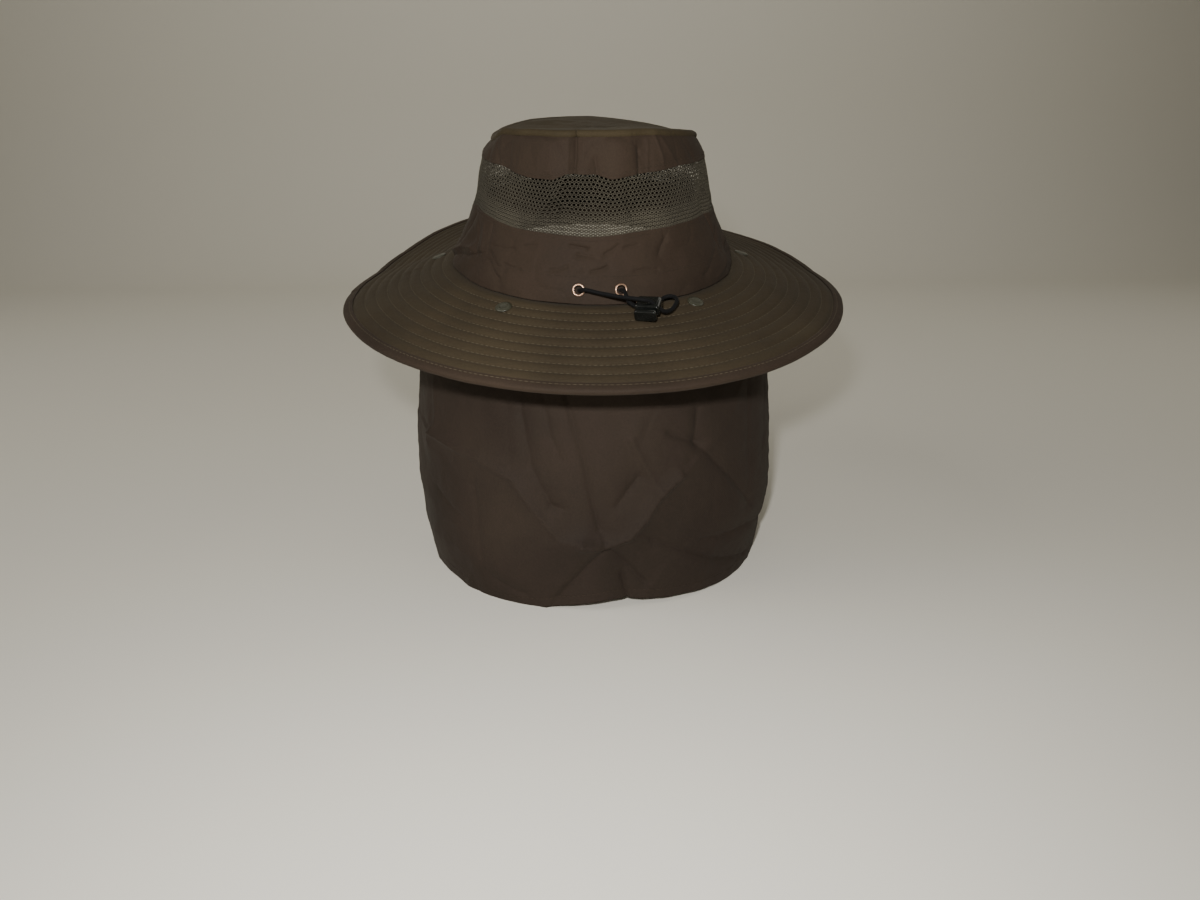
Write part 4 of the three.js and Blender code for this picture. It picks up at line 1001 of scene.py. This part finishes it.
# Net band: a sheet with rows of staggered oval holes
def make_net():
    columns = round(2 * math.pi * HEAD_HALF_WIDTH * NET_REACH / NET_PITCH)
    rows = round((MESH_TOP - MESH_BOTTOM) / NET_ROW_PITCH)
    step_around = 360 / columns
    step_up = (MESH_TOP - MESH_BOTTOM) / rows
    corners = 8
    turns = np.arange(corners) * 2 * math.pi / corners + math.pi / corners
    r, c = np.meshgrid(np.arange(rows), np.arange(columns), indexing="ij")
    centre_around = (c + 0.5 * (r % 2)) * step_around - 180
    centre_up = MESH_BOTTOM + (r + 0.5) * step_up
    # the holes draw together towards the seam at the foot
    opening = smoothstep(centre_up, MESH_BOTTOM + 5, MESH_BOTTOM + 13)
    size = (NET_FOOT_SIZE + (1 - NET_FOOT_SIZE) * opening)[..., None]
    hole_a = size * step_around * NET_HOLE_WIDTH * np.cos(turns)
    hole_u = size * step_up * NET_HOLE_HEIGHT * np.sin(turns)
    cell_a = step_around * 0.5 * np.sign(np.cos(turns)) * np.array([1, 0.42, 0.42, 1, 1, 0.42, 0.42, 1])
    cell_u = step_up * 0.5 * np.sign(np.sin(turns)) * np.array([0.42, 1, 1, 0.42, 0.42, 1, 1, 0.42])
    rings = []
    for a, u in ((hole_a, hole_u), (cell_a, cell_u)):
        rings.append(np.stack([centre_around[..., None] + a, centre_up[..., None] + u], -1))
    places = np.stack(rings, 2)
    flat = places.reshape(-1, 2)
    points = crown_point(flat[:, 0], seam_height(flat[:, 0], flat[:, 1]), NET_DEPTH)
    cells = rows * columns
    base = (np.arange(cells) * 2 * corners)[:, None]
    k = np.arange(corners)
    n = (k + 1) % corners
    faces = np.stack([base + k, base + corners + k, base + corners + n, base + n], -1).reshape(-1, 4)
    uv = flat[faces.ravel()] * np.array([ARC_PER_DEGREE, 1.0]) / 100
    net = mesh_object("crown_net", points, faces.tolist(), net_yarn, uv)
    thicken(net, NET_WALL)
    # the inner face gets the dark colour, painted shade of the hat's inside
    net.data.materials.append(net_inside_painted_shade)
    net.modifiers["wall"].material_offset = 1
    dress(net, "net", "crown_mesh_band")


make_net()


# Brim
def brim_wave(around, offset):
    """Slow rise and fall of the whole brim, in mm."""
    return BRIM_WAVE * layered_noise(around / 24 + 20, offset / 40 + 4, 11) * smoothstep(offset, 0, 30)


def brim_relief(around, offset):
    """Height of the ribs and their puckers over the brim's plain top, in mm."""
    inside = (offset > 0) & (offset < RIBBED_WIDTH)
    phase = np.abs(np.sin(np.pi * offset / RIB_PITCH))
    arc = around * ARC_PER_DEGREE * (1 + offset / HEAD_HALF_WIDTH)
    pucker = PUCKER_DEPTH * value_noise(arc / 2.6, np.floor(offset / RIB_PITCH) * 5.3 + 2, 13)
    swell = RIB_SWELL * phase ** 0.7 + pucker * (1 - phase) * 2 * phase
    swell = swell * (0.35 + 0.65 * smoothstep(offset, 0, 5)) - 0.4 * np.exp(-(offset / 1.4) ** 2)
    return np.where(inside, swell, -0.4 * (offset <= 0)) + brim_wave(around, offset)


def make_brim():
    arounds = -180 + np.arange(BRIM_COLUMNS) * 360 / BRIM_COLUMNS
    over = np.concatenate([[-BRIM_MARGIN], np.linspace(0.01, RIBBED_WIDTH, RIB_COUNT * 8 + 1), [BRIM_EDGE]])
    under = np.linspace(BRIM_EDGE, -BRIM_MARGIN, 14)
    offsets = np.concatenate([over, under])
    is_over = np.concatenate([np.ones(len(over)), np.zeros(len(under))])[:, None]
    around, offset = np.meshgrid(arounds, offsets)
    lift = np.where(is_over > 0, BRIM_HALF - 0.05 + brim_relief(around, offset),
                    -BRIM_HALF + brim_wave(around, offset))
    points = brim_point(around, offset, lift)
    brim = grid_object("brim_panels", points, brim_cloth_with_painted_light, True, True, u=arounds * 2.0,
                       v=offsets * is_over[:, 0])
    dress(brim, "cloth", "brim")


def make_binding():
    arounds = -180 + np.arange(BRIM_COLUMNS) * 360 / BRIM_COLUMNS
    start = BRIM_WIDTH - BINDING_WIDTH + 0.3
    inner = BRIM_HALF + 0.1
    outer = inner + BINDING_WALL
    outline = rounded([
        (BRIM_EDGE + 0.2, -inner), (start, -inner), (start - 0.1, -outer), (BRIM_WIDTH - 1.6, -outer - 0.1),
        (BRIM_WIDTH + 0.2, -outer * 0.7), (BRIM_WIDTH + 0.2, outer * 0.7), (BRIM_WIDTH - 1.6, outer + 0.25),
        (start + 2.0, outer + 0.15), (start - 0.1, outer), (start, inner), (BRIM_EDGE + 0.2, inner),
    ])
    around, offset = np.meshgrid(arounds, outline[:, 0])
    arc = around * math.radians(1) * (HEAD_HALF_WIDTH + BRIM_WIDTH)
    ripple = 0.1 * layered_noise(arc / 5, offset / 3, 17)
    lift = outline[:, 1:] + np.sign(outline[:, 1:]) * ripple + brim_wave(around, offset)
    points = brim_point(around, offset, lift)
    tape = grid_object("brim_edge_tape", points, tape_cloth, True, True,
                       u=arounds * 2.8, v=np.arange(1, len(outline) + 1) * 0.6)
    dress(tape, "cloth", "brim_binding")


make_brim()
make_binding()


# Neck flap
def make_flap():
    columns, falls = 270, 150
    # columns are closer together at the back
    span = np.linspace(-1, 1, columns)
    arounds = -90 + FLAP_HALF_SPAN * (0.72 * span + 0.28 * span ** 3)
    hems, turns = 6, 5
    rows = np.concatenate([np.arange(hems) / hems, 1 + np.arange(turns) / turns, np.linspace(2, 3, falls)])
    points = flap_point(arounds[None, :], rows[:, None])
    # the cloth's own length down to each row, in mm
    lengths = np.concatenate([rows[:hems] * FLAP_HEM_WIDTH, FLAP_HEM_WIDTH + (rows[hems:] - 1) * 4])
    lengths[hems + turns:] = FLAP_HEM_WIDTH + 3 + (rows[hems + turns:] - 2) * 168
    flap = grid_object("neck_flap_cloth", points, flap_cloth_with_painted_shade, False, False,
                       u=arounds * HEM_ARC_PER_DEGREE, v=lengths)
    thicken(flap, FLAP_CLOTH, 0.0)
    dress(flap, "cloth", "neck_flap")
    across = np.linalg.norm(np.diff(points, axis=1), axis=-1).sum(1)
    down = np.linalg.norm(np.diff(points, axis=0), axis=-1).sum(0)
    a, b, c, d = points[:-1, :-1], points[:-1, 1:], points[1:, 1:], points[1:, :-1]
    area = 0.5 * np.linalg.norm(np.cross(c - a, d - b), axis=-1).sum()
    return flap, (across.max(), down.max(), area)


neck_flap, (flap_width, flap_length, flap_area) = make_flap()
print("flap", flap_width, flap_length, flap_area, "cord", cord_length)


# Stitches
def stitch_mesh(name, rows, material):
    """rows: lists of (start, end, off) for each stitch, in mm; each stitch is a small spindle."""
    starts, ends, offs = (np.array([row[k] for row in rows]) for k in range(3))
    way = ends - starts
    side = np.cross(way, offs)
    side /= np.linalg.norm(side, axis=1, keepdims=True)
    offs = offs / np.linalg.norm(offs, axis=1, keepdims=True)
    shares, sizes = (0.0, 0.22, 0.78, 1.0), (0.25, 1.0, 1.0, 0.25)
    turns = np.arange(6) * math.pi / 3
    rings = []
    for share, size in zip(shares, sizes):
        centre = starts + way * share
        rings.append(centre[:, None] + STITCH_RADIUS * size * (
            1.3 * np.cos(turns)[None, :, None] * side[:, None]
            + np.sin(turns)[None, :, None] * offs[:, None]))
    points = np.stack(rings, 1).reshape(-1, 3)
    base = (np.arange(len(rows)) * 24)[:, None, None]
    ring, k = np.meshgrid(np.arange(3), np.arange(6), indexing="ij")
    n = (k + 1) % 6
    quad = np.stack([ring * 6 + k, ring * 6 + n, ring * 6 + 6 + n, ring * 6 + 6 + k], -1)
    faces = (base + quad.reshape(1, -1, 4)).reshape(-1, 4).tolist()
    caps = (np.arange(len(rows)) * 24)[:, None]
    faces += (caps + np.arange(5, -1, -1)).tolist() + (caps + 18 + np.arange(6)).tolist()
    return mesh_object(name, points, faces, material)


def row_on(surface, off_way):
    """Stitches along a line. For shares t from 0 to 1, surface(t) gives its points and off_way(t)
    the way off the cloth."""
    t = np.linspace(0, 1, 2400)
    line = surface(t)
    run = np.concatenate([[0], np.cumsum(np.linalg.norm(np.diff(line, axis=0), axis=1))])
    stitches = []
    for k in range(int(run[-1] / STITCH_PITCH)):
        first = k * STITCH_PITCH
        share = np.interp((first, first + STITCH_LENGTH), run, t)
        a, b = surface(share)
        off = off_way(share[:1])[0]
        stitches.append((a + off * STITCH_LIFT, b + off * STITCH_LIFT, off))
    return stitches


def brim_row(offset, lift=0.0):
    def surface(t, above=0.0):
        around = -180 + 360 * t
        relief = BRIM_HALF + brim_relief(around, np.full_like(t, offset)) + lift
        return brim_point(around, offset, relief + above)

    return row_on(surface, lambda t: surface(t, 1) - surface(t))


def crown_row(height):
    def surface(t, above=0.02):
        around = -180 + 360 * t
        return crown_point(around, seam_height(around, np.full_like(t, height)), -above)

    return row_on(surface, lambda t: surface(t, 1.02) - surface(t))


brim_stitches = []
for k in range(1, RIB_COUNT + 1):
    brim_stitches += brim_row(k * RIB_PITCH)
brim_stitches += brim_row(RIBBED_WIDTH + 2.2, lift=BINDING_WALL + 0.2)
dress(stitch_mesh("brim_stitching", brim_stitches, brim_thread), "cloth")

crown_stitches = []
for height in (MESH_TOP + STITCH_FROM_SEAM, MESH_BOTTOM - STITCH_FROM_SEAM, CHANNEL_HEIGHT - 3):
    crown_stitches += crown_row(height)
dress(stitch_mesh("crown_stitching", crown_stitches, crown_thread), "cloth")


def flap_stitches():
    # one row about 6 mm above the lower edge, which hangs about 165 mm below the hem
    fall_share = 1 - 6 / 165
    end = 3.2
    around = lambda t: -90 - FLAP_HALF_SPAN + end + 2 * (FLAP_HALF_SPAN - end) * t
    row = lambda t: np.full_like(t, 2 + fall_share)
    surface = lambda t: flap_point(around(t), row(t))

    def off(t):
        here = surface(t)
        beside = flap_point(around(t) + 0.5, row(t)) - here
        below = flap_point(around(t), row(t) + 0.01) - here
        out = np.cross(below, beside)
        return out / np.linalg.norm(out, axis=-1, keepdims=True)

    outside = lambda t: surface(t) + off(t) * (FLAP_CLOTH / 2)
    return row_on(outside, off)


dress(stitch_mesh("flap_stitching", flap_stitches(), crown_thread), "cloth")


# Hardware
def make_grommet(name, around):
    place = grommet_place(around)
    seat, roll, lip = 0.05, GROMMET_FLANGE + 0.1, 0.35
    middle = GROMMET_RADIUS - lip
    arc = [(middle + lip * math.cos(a), seat + roll * 0.5 + roll * 0.5 * math.sin(a))
           for a in np.linspace(-math.pi / 2, math.pi / 2, 7)]
    dome = [(middle - s * (middle - GROMMET_BORE_RADIUS - 0.3), seat + roll + 0.18 * math.sin(math.pi * s))
            for s in (0.3, 0.6, 0.9)]
    back = [(GROMMET_BORE_RADIUS, roll - 0.1), (GROMMET_BORE_RADIUS, seat)]
    ring = lathe_object(name + "_ring", [*arc, *dome, *back], 48, place, eyelet_brass, True)
    dress(ring, "eyelet_metal", name)
    barrel = GROMMET_BORE_RADIUS + GROMMET_WALL
    throat = [(GROMMET_BORE_RADIUS, seat), (GROMMET_BORE_RADIUS, -GROMMET_DEPTH),
              (barrel, -GROMMET_DEPTH), (barrel, seat)]
    # the barrel's dark colour is painted shade inside the eyelet
    inner = lathe_object(name + "_barrel", throat, 48, place, throat_painted_shade, True)
    dress(inner, "eyelet_metal")


def make_snap(name, along, offset):
    cap = BRIM_HALF + 0.65
    socket = FLAP_LIFT - FLAP_WALL / 2 - SOFT_GAP
    r, h = SNAP_CAP_RADIUS, SNAP_CAP_HEIGHT * 0.85
    outline = [
        (0.02, socket - SNAP_SOCKET_HEIGHT), (SNAP_SOCKET_RADIUS - 0.3, socket - SNAP_SOCKET_HEIGHT),
        (SNAP_SOCKET_RADIUS, socket - SNAP_SOCKET_HEIGHT + 0.3), (SNAP_SOCKET_RADIUS, socket - 0.2),
        (SNAP_SOCKET_RADIUS - 0.2, socket), (SNAP_POST_RADIUS, socket), (SNAP_POST_RADIUS, cap),
        (r - 0.2, cap), (r, cap + 0.25), (r - 0.15, cap + h * 0.55), (r - 0.8, cap + h * 0.8),
        (r * 0.62, cap + h), (r * 0.55, cap + h * 0.93), (r * 0.42, cap + h * 0.78),
        (r * 0.3, cap + h * 0.74), (0.02, cap + h * 0.72),
    ]
    place = brim_place(-90 + along * FLAP_HALF_SPAN, offset * BRIM_WIDTH)
    dress(lathe_object(name + "_cap", outline, 40, place, snap_plastic, False), "snap_plastic", name)


for name, around in GROMMETS:
    make_grommet(name, around)
for name, along, offset in SNAPS:
    make_snap(name, along, offset)


# Floor that sweeps up behind the hat, and light
floor_mesh = bpy.data.meshes.new("floor")
FLOOR_Z = -0.1935
SWEEP_START = 1.2
SWEEP_RADIUS = 0.4
sweep = [(SWEEP_START + SWEEP_RADIUS * math.sin(a), FLOOR_Z + SWEEP_RADIUS * (1 - math.cos(a)))
         for a in np.linspace(0, math.pi / 2, 17)]
sweep = [(-4.0, FLOOR_Z), *sweep, (SWEEP_START + SWEEP_RADIUS, 3.0)]
floor_mesh.from_pydata([(x, y, z) for y, z in sweep for x in (-4.0, 4.0)], [],
                       [(2 * k, 2 * k + 1, 2 * k + 3, 2 * k + 2) for k in range(len(sweep) - 1)])
floor_mesh.polygons.foreach_set("use_smooth", [True] * len(floor_mesh.polygons))
floor = bpy.data.objects.new("floor", floor_mesh)
bpy.context.scene.collection.objects.link(floor)
floor_shader = Shader("pale floor")
floor_shader.give(Base_Color=(*linear(230, 227, 217), 1), Roughness=0.8)
floor_mesh.materials.append(floor_shader.material)


def area_light(name, location, size, power, colour, aim=(0, 0, -0.05)):
    data = bpy.data.lights.new(name, "AREA")
    data.size = size
    data.energy = power
    data.color = colour
    light = bpy.data.objects.new(name, data)
    light.location = location
    light.rotation_euler = (Vector(aim) - Vector(location)).to_track_quat("-Z", "Y").to_euler()
    bpy.context.scene.collection.objects.link(light)


area_light("key", (-0.06, -0.56, 0.13), 0.025, 3.35, (1.0, 0.98, 0.95))
area_light("left fill", (-1.3, -0.3, 0.9), 1.0, 7.0, (1.0, 0.96, 0.88))
area_light("right fill", (1.3, 0.2, 1.0), 1.0, 2.6, (1.0, 0.95, 0.86))
area_light("sweep light", (0, 0.7, 1.3), 1.2, 4.0, (1.0, 0.97, 0.88), aim=(0, 1.6, 0.3))
world = bpy.data.worlds.new("world")
world.use_nodes = True
background = world.node_tree.nodes["Background"]
background.inputs["Color"].default_value = (*linear(212, 206, 188), 1)
background.inputs["Strength"].default_value = 0.16
bpy.context.scene.world = world
